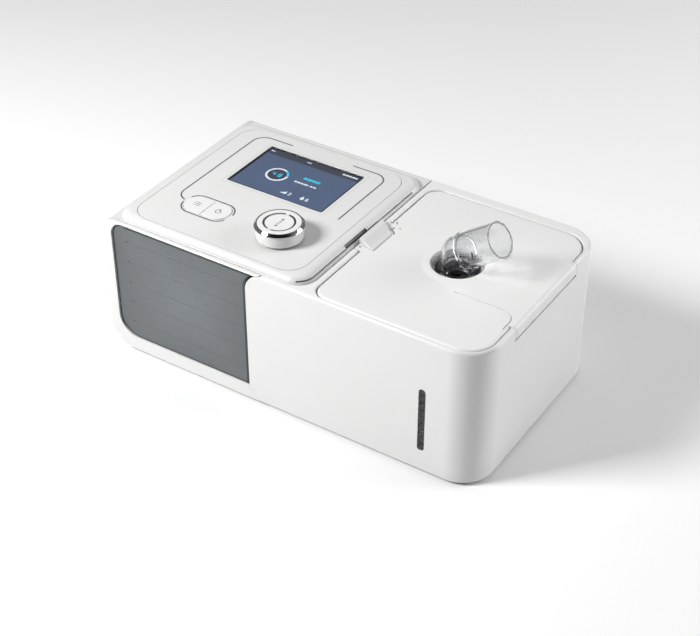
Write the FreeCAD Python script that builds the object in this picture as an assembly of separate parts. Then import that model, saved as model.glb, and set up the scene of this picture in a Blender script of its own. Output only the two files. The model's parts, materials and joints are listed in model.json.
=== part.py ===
import FreeCAD, Part
import math
import os

# Bilevel ventilator with a built-in heated humidifier, in millimetres.
# The control unit is on the left, the humidifier with its lid and swivel elbow on the right.
# Frame: origin at the centre of the footprint, on the surface that the feet stand on.
# +X is to the right, -Y is the front with the grey panel, +Z is up.

# ---- driving dimensions: the case ----
WIDTH = 265.0
DEPTH = 146.0
FOOT = 1.5            # height of the rubber feet
RIM_Z = 94.8          # top of the humidifier and of the front bezel
DECK_Z = 98.9         # top of the control deck
WALL = 2.5
SIDE_WALL = 3.2       # outer wall of the humidifier
FIT = 0.3             # gap between pieces that move past each other
SEAM = 0.15           # visible joint line between fixed covers

LEFT = -WIDTH / 2
RIGHT = WIDTH / 2
FRONT = -DEPTH / 2
BACK = DEPTH / 2

UNIT_RIGHT = 15.5     # right side of the control unit
BEZEL_DEPTH = 3.4     # the bezel and the humidifier's front wall stand this far forward
UNIT_FRONT = FRONT + BEZEL_DEPTH
SPLIT_Z = 46.0        # joint between the upper and the lower case
TOP_LEFT_R = 13.0
BOTTOM_LEFT_R = 19.0
UNIT_CORNER_R = 12.0
DECK_LEFT = LEFT + 9.5       # the raised deck stands back from the left and the back edge
DECK_BACK = 66.5
DECK_LEFT_R = 13.0
DECK_EDGE_R = 6.0
DECK_THICK = 4.0
CORNER_R = 21.0       # plan corners of the humidifier
RIM_R = 2.5

# ---- driving dimensions: front panel ----
PANEL_LEFT = LEFT + 9.8
PANEL_BOTTOM = 11.5
PANEL_TOP = RIM_Z - 0.7
PANEL_RECESS = 1.2
BEZEL_EDGE = 2.8             # the bezel's left edge stands in from the case's side
BEZEL_GROOVE = 0.8           # shadow line behind the bezel
PANEL_TOP_R = 9.0
PANEL_BOTTOM_R = 14.5
WING_LEFT = LEFT + 109.3     # where the humidifier's front wall meets the grey panel
WING_TOP_R = 12.5
WING_FOOT_RUN = 25.3         # the wing's lower corner runs out along the bottom over this length

# ---- driving dimensions: control deck ----
FASCIA = (LEFT + 18.2, LEFT + 139.3, FRONT + 8.0, FRONT + 132.5)
FASCIA_R = 13.0
FASCIA_THICK = 1.6
FASCIA_GAP = 0.3
SCREEN = (LEFT + 44.7, LEFT + 115.2, FRONT + 70.4, FRONT + 119.2)
SCREEN_R = 1.2
LENS_THICK = 1.0
GASKET_THICK = 0.4
DISPLAY_THICK = 5.0
KNOB_X = LEFT + 109.4
KNOB_Y = FRONT + 35.6
KNOB_R = 15.1
KNOB_TOP = DECK_Z + 10.5
KNOB_CAP_R = KNOB_R - 1.8
KNOB_RING_LOW = KNOB_TOP - 2.2
KNOB_CAP_LOW = KNOB_TOP - 3.2
INLAY = (8.6, 9.9)           # inner and outer radius of the grey ring in the knob's top
KNOB_PRESS = 0.8
KNOB_GAP = 2 * KNOB_PRESS    # free height under the knob
DISH_R = 23.0
DISH_DEPTH = 1.0
KEYS_X = LEFT + 55.4
KEYS_Y = FRONT + 37.5
KEYS_SIZE = (31.5, 17.0)
KEYS_R = 7.5
KEY_PROUD = 0.6
KEY_PRESS = 0.6
TRIM_W = 1.0                 # width of the dark inlaid lines
TRIM_DEPTH = 0.5
BAND_BOTTOM = RIM_Z + 1.1    # dark line let into the deck's right side
BAND_TOP = RIM_Z + 1.9
BAND_THICK = 2.4
BAND_RECESS = 0.35
BAND_BACK = FRONT + 123.0
SHADOW_GAP = 1.0             # gap between the deck's side and the humidifier's top
SHADOW_DEPTH = 3.0
KEEPER = (FRONT + 49.0, FRONT + 72.0, 96.3, 97.9)    # the latch's slot in the deck's side
KEEPER_DEPTH = 4.4
LINER = 0.8

# ---- driving dimensions: humidifier lid, latch and hinge ----
LID_LEFT = UNIT_RIGHT + 5.0
LID_RIGHT = RIGHT - 3.6
LID_FRONT = FRONT + 3.4
LID_BACK = BACK - 9.0
LID_THICK = 2.8
LID_GAP = 0.8
LID_R = 9.0
LID_CORNER_R = 16.0
LID_EDGE_R = 1.8
RIM_FLARE = 0.5              # chamfer round the lid's seat
LEDGE = 2.2
FLANGE = 5.0
LIP_THICK = 1.6
LIP_DEPTH = 5.0
HINGE = (FRONT + 36.8, FRONT + 110.8)    # from and to, along Y
HINGE_X = RIGHT - 1.6
HINGE_Z = RIM_Z - 1.8
PIN_R = 0.8
PIN_RUN = 0.05
PIN_REACH = 6.0
WRAP_THICK = 2.4
WRAP_BOTTOM = 86.4
SLIT = 0.9
LATCH = (FRONT + 57.4, FRONT + 86.0)
LATCH_SLANT = (3.8, 8.0)     # how far its front and back ends lean over its width
LATCH_LEG = (FRONT + 64.0, FRONT + 77.5)
LATCH_TRAVEL = 2.0
LATCH_TOP = 98.0

# ---- driving dimensions: outlet and elbow ----
OUTLET_X = LEFT + 207.8
OUTLET_Y = -0.2
HOLE_R = 16.0
COLLAR_R = 22.0
COLLAR_PROUD = 0.9
BEND_Z = 103.1
TUBE_TILT = 34.4             # degrees above level
TUBE_R = 11.0                # the 22 mm breathing connector
TUBE_BORE_R = 9.3
TUBE_START = 5.8             # from the bend's centre to the step, along the tube
TUBE_END = 31.3
CUFF_STOP = 9.8              # end of the shoulder that stops the hose's cuff
CUFF_STOP_R = 11.3
STUB_R = 10.0
STUB_BORE_R = 8.2
STUB_BOTTOM = 85.5

# ---- driving dimensions: water tank and heater ----
WINDOW = (LEFT + 226.4, LEFT + 230.9, 16.7, 60.9)     # water-level window: x from, to, z from, to
TANK = (26.0, 116.0, -58.0, 58.0)
TANK_R = 20.0
TANK_WALL = 2.0
TANK_BOTTOM = 15.5
TANK_TOP = 60.0
TANK_COVER_TOP = 80.0
HEATER_R = 37.0
HEATER_X = (TANK[0] + TANK[1]) / 2
HEATER_Y = 0.0

# ---- driving dimensions: blower ----
BLOWER_X = -42.0
BLOWER_Y = 2.0
VOLUTE_R = 33.0
VOLUTE_BOTTOM = 22.0
VOLUTE_SPLIT = 38.0
VOLUTE_TOP = 44.0
IMPELLER_R = 26.0
INLET_R = 13.0
SHAFT_R = 2.0
DUCT_R = 7.0
DUCT_BORE_R = 5.5
DUCT_Y = 22.0
DUCT_X = 1.0
DUCT_Z = 72.0

# ---- driving dimensions: back ----
DOOR = (-98.0, -38.0, 22.0, 72.0)        # air-filter door: x from, to, z from, to
DOOR_R = 6.0
DOOR_THICK = 2.2
DOOR_PIN_R = 1.0
DOOR_PIN_Y = BACK - 2.0
DOOR_PIN_Z = DOOR[2] + 2.0
SOCKET_X = -8.0              # low-voltage inlet
SOCKET_Z = 20.0
CARD_SLOT = (-29.0, -3.0, 32.0, 36.2)     # x from, to, z from, to


def vec(x, y, z):
    """Point or direction."""
    return FreeCAD.Vector(x, y, z)


def block(x0, x1, y0, y1, z0, z1):
    """Box between two values along each axis."""
    return Part.makeBox(x1 - x0, y1 - y0, z1 - z0, vec(x0, y0, z0))


def post(x, y, z0, z1, r):
    """Upright cylinder between two heights."""
    return Part.makeCylinder(r, z1 - z0, vec(x, y, z0))


def rod(start, along, length, r):
    """Cylinder from a point along a direction."""
    return Part.makeCylinder(r, length, start, along)


def tube(x, y, z0, z1, outer, inner):
    """Upright pipe between two heights."""
    return post(x, y, z0, z1, outer).cut(post(x, y, z0 - 1, z1 + 1, inner))


def fuse_all(shapes):
    """One solid from shapes that touch."""
    whole = shapes[0]
    for shape in shapes[1:]:
        whole = whole.fuse(shape)
    return whole.removeSplitter()


def in_plane(plane, a, b, c):
    """Point with a and b in the named plane and c along its normal."""
    if plane == "XY":
        return vec(a, b, c)
    if plane == "XZ":
        return vec(a, c, b)
    return vec(c, a, b)


def rounded_edges(plane, a0, a1, b0, b1, radii, c):
    """Edges of a rectangle whose corners (a0b0, a1b0, a1b1, a0b1) have their own radii."""
    corners = ((a0, b0, 1, 1), (a1, b0, -1, 1), (a1, b1, -1, -1), (a0, b1, 1, -1))
    edges = []
    stops = []
    for index, (a, b, in_a, in_b) in enumerate(corners):
        r = max(radii[index], 0.0)
        along_b = in_plane(plane, a, b + in_b * r, c)
        along_a = in_plane(plane, a + in_a * r, b, c)
        first, last = (along_b, along_a) if index in (0, 2) else (along_a, along_b)
        if r > 0:
            bow = r * (1 - math.sqrt(0.5))
            middle = in_plane(plane, a + in_a * bow, b + in_b * bow, c)
            edges.append(Part.Arc(first, middle, last).toShape())
        stops.append((first, last))
    for index in range(4):
        start = stops[index][1]
        end = stops[(index + 1) % 4][0]
        if start.distanceToPoint(end) > 1e-6:
            edges.append(Part.makeLine(start, end))
    return edges


def prism(plane, a0, a1, b0, b1, radii, c0, c1):
    """Rounded rectangle in a plane, pushed from c0 to c1 along the normal."""
    edges = rounded_edges(plane, a0, a1, b0, b1, radii, c0)
    face = Part.Face(Part.Wire(Part.__sortEdges__(edges)))
    return face.extrude(in_plane(plane, 0, 0, c1 - c0))


def plan(a0, a1, b0, b1, r, z0, z1):
    """Upright plate with the same radius at all four corners."""
    return prism("XY", a0, a1, b0, b1, (r, r, r, r), z0, z1)


def plan_ring(a0, a1, b0, b1, r, width, z0, z1):
    """Frame of even width cut from such a plate."""
    inner = plan(a0 + width, a1 - width, b0 + width, b1 - width, r - width, z0 - 1, z1 + 1)
    return plan(a0, a1, b0, b1, r, z0, z1).cut(inner)


def revolve(points, x, y):
    """Solid of revolution about the vertical through x, y from (radius, z) points."""
    corners = [vec(x + r, y, z) for r, z in points]
    face = Part.Face(Part.makePolygon(corners + [corners[0]]))
    return face.revolve(vec(x, y, 0), vec(0, 0, 1), 360)


def edges_at_z(shape, z, keep):
    """Edges lying in the level z whose centre passes the keep test."""
    found = []
    for edge in shape.Edges:
        box = edge.BoundBox
        if abs(box.ZMin - z) < 1e-4 and abs(box.ZMax - z) < 1e-4 and keep(edge.CenterOfMass):
            found.append(edge)
    return found


# ---------------------------------------------------------------- control unit: case

def unit_block(inset):
    """Outer form of the control unit, shrunk all round by inset: a body, and the raised deck on it."""
    top = RIM_Z - inset
    right = UNIT_RIGHT - inset
    front = UNIT_FRONT + inset
    back = BACK - inset
    corner = UNIT_CORNER_R - inset
    body = prism("XY", LEFT + inset, right, front, back, (2.0, corner, 0, 6.0), FOOT + inset, top)
    body = body.common(prism("XZ", LEFT + inset, RIGHT, FOOT + inset, top,
                             (BOTTOM_LEFT_R - inset, 0, 0, TOP_LEFT_R), FRONT - 1, BACK + 1))
    body = body.common(prism("YZ", FRONT, back, FOOT + inset, top, (0, 2.0, RIM_R, 0), LEFT - 1, RIGHT))
    deck = prism("XY", DECK_LEFT + inset, right, front, DECK_BACK - inset,
                 (DECK_LEFT_R, corner, corner, DECK_LEFT_R), SPLIT_Z + 30, DECK_Z)
    deck = deck.makeFillet(DECK_EDGE_R, edges_at_z(deck, DECK_Z, lambda p: True))
    return body.fuse(deck).removeSplitter()


def unit_shell():
    """Control unit hollowed out to its wall, with a thick top under the deck."""
    cavity = unit_block(WALL).common(block(LEFT, RIGHT, FRONT, BACK, 0, DECK_Z - DECK_THICK))
    return unit_block(0).cut(cavity)


def band_space():
    """Groove round the deck's front corner and along its right side."""
    ring = plan(LEFT, UNIT_RIGHT + 1, UNIT_FRONT - 1, BACK, UNIT_CORNER_R + 1, BAND_BOTTOM, BAND_TOP)
    inner = plan(LEFT - 9, UNIT_RIGHT - BAND_THICK, UNIT_FRONT + BAND_THICK, BACK + 9,
                 UNIT_CORNER_R - BAND_THICK, BAND_BOTTOM - 1, BAND_TOP + 1)
    return ring.cut(inner).common(block(UNIT_RIGHT - 7.0, RIGHT, FRONT, BAND_BACK, 0, DECK_Z))


def keeper_space(depth):
    """Slot in the deck's side that the latch's nose goes into."""
    return block(UNIT_RIGHT - depth, UNIT_RIGHT + 1, KEEPER[0], KEEPER[1], KEEPER[2], KEEPER[3])


def screw_places():
    """The four case screws, near the corners of the control unit."""
    return [(x, y) for x in (LEFT + 24, UNIT_RIGHT - 12) for y in (UNIT_FRONT + 12, BACK - 14)]


def upper_case():
    """Deck and upper walls of the control unit, cut for the screen, keys, knob and groove."""
    shell = unit_shell().common(block(LEFT, RIGHT, FRONT, BACK, SPLIT_Z, DECK_Z))
    x0, x1, y0, y1 = FASCIA
    recess = plan(x0, x1, y0, y1, FASCIA_R, DECK_Z - FASCIA_THICK, DECK_Z + 1)
    sx0, sx1, sy0, sy1 = SCREEN
    window = plan(sx0, sx1, sy0, sy1, SCREEN_R, DECK_Z - 9, DECK_Z + 1)
    keys = key_outline(0, DECK_Z - 9, DECK_Z + 1)
    shaft_hole = post(KNOB_X, KNOB_Y, DECK_Z - 9, DECK_Z + 1, 4.0)
    duct_hole = rod(vec(0, DUCT_Y, DUCT_Z), vec(1, 0, 0), 40, DUCT_R + 0.2)
    slot = keeper_space(KEEPER_DEPTH)
    for tool in (recess, window, keys, shaft_hole, slot, band_space(), duct_hole, door_space()):
        shell = shell.cut(tool)
    bosses = [post(x, y, SPLIT_Z, DECK_Z - DECK_THICK, 3.6).cut(post(x, y, SPLIT_Z - 1, SPLIT_Z + 12, 1.4))
              for x, y in screw_places()]
    return fuse_all([shell] + bosses).cut(Part.makeCompound(link_shanks()))


def lower_case():
    """Floor and lower walls of the control unit, with screw posts and openings at the back."""
    shell = unit_shell().common(block(LEFT, RIGHT, FRONT, BACK, 0, SPLIT_Z))
    shell = shell.cut(door_space())
    shell = shell.cut(socket_cut()).cut(card_slot_cut())
    bosses = []
    for x, y in screw_places():
        bosses.append(post(x, y, FOOT, SPLIT_Z, 3.6))
    case = fuse_all([shell] + bosses + door_ears())
    case = case.cut(rod(vec(DOOR[0], DOOR_PIN_Y, DOOR_PIN_Z), vec(1, 0, 0), DOOR[1] - DOOR[0], DOOR_PIN_R))
    case = case.cut(Part.makeCompound(link_shanks()))
    for x, y in screw_places():
        case = case.cut(post(x, y, FOOT - 1, SPLIT_Z + 1, 1.6))
        case = case.cut(post(x, y, FOOT - 1, SPLIT_Z - 8, 2.9))
    return case


def case_screws():
    """Four long screws that pull the two halves of the case together."""
    screws = []
    for x, y in screw_places():
        head = post(x, y, SPLIT_Z - 10.0, SPLIT_Z - 8.0, 2.7)
        shank = post(x, y, SPLIT_Z - 8.0, SPLIT_Z + 9.0, 1.4)
        drive = post(x, y, SPLIT_Z - 10.1, SPLIT_Z - 9.0, 1.1)
        screws.append(head.fuse(shank).cut(drive))
    return Part.makeCompound(screws)


def deck_band():
    """Dark strip that lines the groove in the deck's side, and the back of the latch's slot."""
    front_of_liner = KEEPER_DEPTH - LINER
    liner = block(UNIT_RIGHT - KEEPER_DEPTH, UNIT_RIGHT - front_of_liner,
                  KEEPER[0], KEEPER[1], KEEPER[2], KEEPER[3])
    strip = band_space().common(unit_block(BAND_RECESS)).cut(keeper_space(front_of_liner))
    return strip.fuse(liner).removeSplitter()


def wing_profile(grow):
    """Front outline of the humidifier's wall, whose wing reaches over the control unit."""
    left = WING_LEFT - grow
    top = RIM_Z + grow
    bow = WING_TOP_R * (1 - math.sqrt(0.5))
    run = WING_FOOT_RUN
    y = FRONT - 1
    foot_end = vec(WING_LEFT + run, y, FOOT - grow)
    side_end = vec(left, y, PANEL_BOTTOM)
    edges = [
        Part.Arc(side_end, vec(left + 0.22 * run, y, FOOT + 2.9), foot_end).toShape(),
        Part.makeLine(foot_end, vec(RIGHT + 5, y, FOOT - grow)),
        Part.makeLine(vec(RIGHT + 5, y, FOOT - grow), vec(RIGHT + 5, y, top)),
        Part.makeLine(vec(RIGHT + 5, y, top), vec(left + WING_TOP_R, y, top)),
        Part.Arc(vec(left + WING_TOP_R, y, top), vec(left + bow, y, top - bow),
                 vec(left, y, top - WING_TOP_R)).toShape(),
        Part.makeLine(vec(left, y, top - WING_TOP_R), side_end),
    ]
    return Part.Face(Part.Wire(Part.__sortEdges__(edges)))


def panel_opening(gap, y0, y1):
    """Outline of the grey panel, cut through the bezel, between two depths."""
    return prism("XZ", PANEL_LEFT + gap, UNIT_RIGHT - 4, PANEL_BOTTOM + gap, PANEL_TOP - gap,
                 (PANEL_BOTTOM_R, 0, 0, PANEL_TOP_R), y0, y1)


def bezel_plate(inset, y0, y1):
    """Outline of the bezel before the panel's opening is cut, between two depths."""
    edge = BEZEL_EDGE + inset
    return prism("XZ", LEFT + edge, UNIT_RIGHT - 4, FOOT + 0.3 + inset, RIM_Z - inset,
                 (BOTTOM_LEFT_R - edge, 0, 0, TOP_LEFT_R - edge), y0, y1)


def front_bezel():
    """White frame round the grey panel, open on the right where the wing closes it."""
    frame = bezel_plate(0, FRONT, UNIT_FRONT - BEZEL_GROOVE)
    outer_front = [e for e in frame.Edges
                   if abs(e.BoundBox.YMax - FRONT) < 1e-4 and e.CenterOfMass.x < UNIT_RIGHT - 5]
    frame = frame.makeFillet(0.8, outer_front)
    frame = frame.fuse(bezel_plate(BEZEL_GROOVE, UNIT_FRONT - BEZEL_GROOVE, UNIT_FRONT))
    frame = frame.cut(panel_opening(0, FRONT - 1, UNIT_FRONT + 1))
    return frame.cut(wing_profile(SEAM).extrude(vec(0, DEPTH, 0)))


def front_panel():
    """Grey panel, set back a little behind the bezel."""
    panel = panel_opening(SEAM, FRONT + PANEL_RECESS, UNIT_FRONT)
    return panel.cut(wing_profile(SEAM).extrude(vec(0, DEPTH, 0)))


# ---------------------------------------------------------------- control deck

def key_outline(gap, z0, z1):
    """Common outline of the two keys."""
    half_x = KEYS_SIZE[0] / 2
    half_y = KEYS_SIZE[1] / 2
    return plan(KEYS_X - half_x + gap, KEYS_X + half_x - gap, KEYS_Y - half_y + gap,
                KEYS_Y + half_y - gap, KEYS_R - gap, z0, z1)


def dish():
    """Shallow round dish under the knob: the cap of a large sphere."""
    r = (DISH_R ** 2 + DISH_DEPTH ** 2) / (2 * DISH_DEPTH)
    ball = Part.makeSphere(r, vec(KNOB_X, KNOB_Y, DECK_Z - DISH_DEPTH + r))
    return ball.common(post(KNOB_X, KNOB_Y, DECK_Z - 2, DECK_Z + 1, DISH_R + 1))


def fascia():
    """Thin plate over the deck, with openings for the screen, the keys and the knob."""
    x0, x1, y0, y1 = FASCIA
    gap = FASCIA_GAP
    plate = plan(x0 + gap, x1 - gap, y0 + gap, y1 - gap, FASCIA_R - gap, DECK_Z - FASCIA_THICK, DECK_Z)
    sx0, sx1, sy0, sy1 = SCREEN
    plate = plate.cut(plan(sx0, sx1, sy0, sy1, SCREEN_R, DECK_Z - 9, DECK_Z + 1))
    plate = plate.cut(key_outline(0, DECK_Z - 9, DECK_Z + 1))
    plate = plate.cut(dish())
    plate = plate.cut(post(KNOB_X, KNOB_Y, DECK_Z - 9, DECK_Z + 1, 4.0))
    return plate.cut(Part.makeCompound(trim_pieces()))


def trim_line(x0, x1, y0, y1, r, keep):
    """Part of a rounded frame line, where the keep boxes overlap it."""
    ring = plan_ring(x0, x1, y0, y1, r, TRIM_W, DECK_Z - TRIM_DEPTH, DECK_Z)
    pieces = [ring.common(block(a0, a1, b0, b1, 0, 200)) for a0, a1, b0, b1 in keep]
    return fuse_all(pieces)


def trim_pieces():
    """Dark inlaid lines: two brackets round the screen and two round the keys."""
    x0 = LEFT + 30.0
    x1 = LEFT + 128.3
    y1 = FRONT + 127.0
    y0 = FRONT + 37.4
    left = trim_line(x0, x1, y0, y1, 9.0, [(x0 - 1, LEFT + 55.9, FRONT + 70, y1 + 1),
                                           (x0 - 1, LEFT + 37.5, y0 - 1, FRONT + 71)])
    right = trim_line(x0, x1, y0, y1, 9.0, [(LEFT + 101.6, x1 + 1, FRONT + 69.8, y1 + 1)])
    half_x = KEYS_SIZE[0] / 2 + 1.9
    half_y = KEYS_SIZE[1] / 2 + 1.9
    kx0, kx1, ky0, ky1 = KEYS_X - half_x, KEYS_X + half_x, KEYS_Y - half_y, KEYS_Y + half_y
    upper = trim_line(kx0, kx1, ky0, ky1, KEYS_R + 1.9, [(kx0 + 1.5, kx1 + 1, KEYS_Y + 1.5, ky1 + 1)])
    lower = trim_line(kx0, kx1, ky0, ky1, KEYS_R + 1.9, [(kx0 - 1, kx1 - 1.5, ky0 - 1, KEYS_Y - 1.5)])
    return [left, right, upper, lower]


def fascia_trim():
    """Dark lines let into the fascia."""
    return Part.makeCompound(trim_pieces())


def screen_lens():
    """Clear window over the screen."""
    sx0, sx1, sy0, sy1 = SCREEN
    top = DECK_Z - 0.1
    return plan(sx0 + SEAM, sx1 - SEAM, sy0 + SEAM, sy1 - SEAM, SCREEN_R, top - LENS_THICK, top)


def screen_gasket():
    """Foam frame between the lens and the display."""
    sx0, sx1, sy0, sy1 = SCREEN
    top = DECK_Z - 0.1 - LENS_THICK
    return plan_ring(sx0 + 0.3, sx1 - 0.3, sy0 + 0.3, sy1 - 0.3, 1.3, 0.9, top - GASKET_THICK, top)


def display_module():
    """Screen panel with its raised glass and its flat cable."""
    sx0, sx1, sy0, sy1 = SCREEN
    top = DECK_Z - DECK_THICK
    body = block(sx0 - 2.5, sx1 + 2.5, sy0 - 4, sy1 + 3, top - DISPLAY_THICK, top)
    glass_top = DECK_Z - 0.1 - LENS_THICK - GASKET_THICK
    body = body.fuse(plan(sx0 + 0.3, sx1 - 0.3, sy0 + 0.3, sy1 - 0.3, 1.3, top - 1, glass_top))
    cable = block(sx0 + 25, sx1 - 25, sy0 - 9, sy0 - 4, top - DISPLAY_THICK, top - DISPLAY_THICK + 0.6)
    return body.fuse(cable)


def key(side):
    """One of the two keys that share an oval opening; side is -1 for left, 1 for right."""
    oval = key_outline(0.25, DECK_Z - 4.6, DECK_Z + KEY_PROUD)
    edge = 0.2
    half = block(KEYS_X + edge, KEYS_X + 40, KEYS_Y - 40, KEYS_Y + 40, 0, 200)
    if side < 0:
        half = block(KEYS_X - 40, KEYS_X - edge, KEYS_Y - 40, KEYS_Y + 40, 0, 200)
    cap = oval.common(half)
    top = edges_at_z(cap, DECK_Z + KEY_PROUD, lambda p: True)
    return cap.makeFillet(0.35, top)


def key_switches():
    """Two tall push switches, one under each key."""
    switches = []
    for side in (-1, 1):
        x = KEYS_X + side * KEYS_SIZE[0] / 4
        base = block(x - 3, x + 3, KEYS_Y - 3, KEYS_Y + 3, 85.6, 91.5)
        switches.append(base.fuse(post(x, KEYS_Y, 91.5, DECK_Z - 4.6 - KEY_PRESS - FIT, 1.7)))
    return switches


def left_key():
    """Left half of the pair of keys."""
    return key(-1)


def right_key():
    """Right half of the pair of keys."""
    return key(1)


def knob_body():
    """Drum of the knob, stepped at the top for the ring and the cap."""
    low = DECK_Z - DISH_DEPTH + KNOB_GAP
    profile = [(3.0, low), (KNOB_R - 1.6, low), (KNOB_R - 0.9, low + 0.7), (KNOB_R - 0.3, KNOB_RING_LOW),
               (KNOB_CAP_R, KNOB_RING_LOW), (KNOB_CAP_R, KNOB_CAP_LOW), (3.0, KNOB_CAP_LOW)]
    return revolve(profile, KNOB_X, KNOB_Y)


def knob_ring():
    """Chrome ring with a broad chamfer, round the top of the knob."""
    high = KNOB_TOP - 0.1
    profile = [(KNOB_CAP_R, KNOB_RING_LOW), (KNOB_R - 0.2, KNOB_RING_LOW), (KNOB_R, KNOB_RING_LOW + 0.2),
               (KNOB_R, KNOB_RING_LOW + 0.6), (KNOB_R - 0.2, KNOB_RING_LOW + 0.9),
               (KNOB_R - 1.3, high), (KNOB_CAP_R, high)]
    return revolve(profile, KNOB_X, KNOB_Y)


def knob_cap():
    """White top of the knob, with a shallow groove for the grey ring."""
    inner, outer = INLAY
    rim = KNOB_CAP_R
    profile = [(0, KNOB_CAP_LOW), (rim, KNOB_CAP_LOW), (rim, KNOB_TOP - 0.5), (rim - 0.5, KNOB_TOP - 0.1),
               (rim - 1.3, KNOB_TOP), (outer, KNOB_TOP - 0.1), (outer, KNOB_TOP - 0.9),
               (inner, KNOB_TOP - 0.9), (inner, KNOB_TOP - 0.4), (0, KNOB_TOP - 0.7)]
    return revolve(profile, KNOB_X, KNOB_Y)


def knob_inner_ring():
    """Grey ring let into the knob's top."""
    inner, outer = INLAY
    low = KNOB_TOP - 0.9
    profile = [(inner, low), (outer, low), (outer, KNOB_TOP - 0.15), (inner, KNOB_TOP - 0.45)]
    return revolve(profile, KNOB_X, KNOB_Y)


def encoder_shaft():
    """Shaft that carries the knob and slides through the rotor."""
    bottom = 87.9
    return post(KNOB_X, KNOB_Y, bottom, KNOB_TOP - 3.2, 3.0)


def encoder_rotor():
    """Slotted disc that the shaft turns and slides through."""
    disc = tube(KNOB_X, KNOB_Y, 87.5, 90.4, 5.1, 3.05)
    for step in range(8):
        angle = math.radians(45 * step)
        x = KNOB_X + 4.8 * math.cos(angle)
        y = KNOB_Y + 4.8 * math.sin(angle)
        disc = disc.cut(post(x, y, 86, 92, 0.6))
    return disc


def encoder_body():
    """Housing of the rotary encoder, bored for the rotor and the shaft."""
    box = block(KNOB_X - 7, KNOB_X + 7, KNOB_Y - 7, KNOB_Y + 7, 85.6, 92.6)
    box = box.cut(post(KNOB_X, KNOB_Y, 86.8, 91.2, 5.5))
    return box.cut(post(KNOB_X, KNOB_Y, 90, 94, 3.4))


def control_board():
    """Small circuit board that carries the keys' switches and the knob's encoder."""
    board = block(-100, -6, -60, -9, 84.0, 85.6)
    for x in (-96, -10):
        for y in (-56, -13):
            board = board.cut(post(x, y, 80, 90, 1.6))
    return Part.makeCompound([board] + key_switches())


# ---------------------------------------------------------------- inside the control unit

def board_posts():
    """The four places where the main board is held."""
    return [(x, y) for x in (-116, -4) for y in (-50, 50)]


def main_board():
    """Main circuit board, cut clear of the screw posts and the air duct."""
    board = block(-122, 2, -60, 62, 74.0, 75.6)
    for x, y in board_posts():
        board = board.cut(post(x, y, 70, 80, 1.7))
    board = board.cut(post(DUCT_X, DUCT_Y, 60, 90, DUCT_R + 2))
    for x, y in screw_places():
        board = board.cut(post(x, y, 60, 90, 5))
    return Part.makeCompound([board] + board_parts())


def board_parts():
    """Processor, memory, driver chips, electrolytic capacitors and plugs on the main board."""
    top = 75.6
    chips = [(-80, 10, 14, 14, 1.4), (-55, 20, 8, 12, 1.2), (-30, -20, 10, 10, 1.4), (-95, -35, 18, 7, 1.2)]
    parts = [block(x, x + a, y, y + b, top, top + h) for x, y, a, b, h in chips]
    parts += [post(x, -45, top, top + 7.0, 3.2) for x in (-60, -51, -42)]
    parts += [block(x, x + 12, 54, 60, top, top + 6) for x in (-100, -80, -60)]
    return parts


def power_board():
    """Supply board on the floor at the left."""
    board = block(-122, -84, -52, 10, 10.0, 11.6)
    return Part.makeCompound([board] + power_parts())


def power_parts():
    """Inductor, capacitors and heat sink of the supply board."""
    top = 11.6
    coil = tube(-103, -40, top, top + 9, 9.0, 4.0)
    cans = [post(-112, y, top, top + 15, 5.0) for y in (-22, -10)]
    fins = [block(-100, -88, y, y + 1.5, top, top + 14) for y in (-24, -20, -16, -12)]
    base = block(-101.5, -100, -24, -10.5, top, top + 14)
    return [coil] + cans + [fuse_all([base] + fins)]


def speaker():
    """Small round loudspeaker, magnet down."""
    profile = [(0, 6.0), (5, 6.0), (5, 9.0), (12.5, 12.0), (12.5, 13.2), (4.5, 11.4), (0, 11.4)]
    cone = revolve(profile, -60, -52)
    return cone


def blower_base():
    """Lower half of the scroll, with its outlet stub towards the duct."""
    low, high = VOLUTE_BOTTOM, VOLUTE_SPLIT
    cup = post(BLOWER_X, BLOWER_Y, low, high, VOLUTE_R)
    stub = rod(vec(BLOWER_X, DUCT_Y, (low + high) / 2), vec(1, 0, 0), 34, 7.9)
    cup = cup.fuse(stub)
    cup = cup.cut(post(BLOWER_X, BLOWER_Y, low + 2, high + 1, VOLUTE_R - 2))
    cup = cup.cut(rod(vec(BLOWER_X, DUCT_Y, (low + high) / 2), vec(1, 0, 0), 40, 6.2))
    cup = cup.cut(post(BLOWER_X, BLOWER_Y, low - 1, low + 3, 9.0))
    ears = []
    for step in range(4):
        angle = math.radians(45 + 90 * step)
        x = BLOWER_X + 37 * math.cos(angle)
        y = BLOWER_Y + 37 * math.sin(angle)
        inside = post(BLOWER_X, BLOWER_Y, low - 1, low + 5, VOLUTE_R - 1)
        ears.append(post(x, y, low, low + 3, 6.0).cut(inside))
    return fuse_all([cup] + ears)


def blower_cover():
    """Upper half of the scroll, with the round air inlet."""
    low, high = VOLUTE_SPLIT, VOLUTE_TOP
    cup = post(BLOWER_X, BLOWER_Y, low, high, VOLUTE_R)
    cup = cup.cut(post(BLOWER_X, BLOWER_Y, low - 1, high - 2, VOLUTE_R - 2))
    lip = tube(BLOWER_X, BLOWER_Y, high - 2, high + 3, INLET_R + 2, INLET_R)
    return cup.cut(post(BLOWER_X, BLOWER_Y, low, high + 1, INLET_R)).fuse(lip).removeSplitter()


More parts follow.
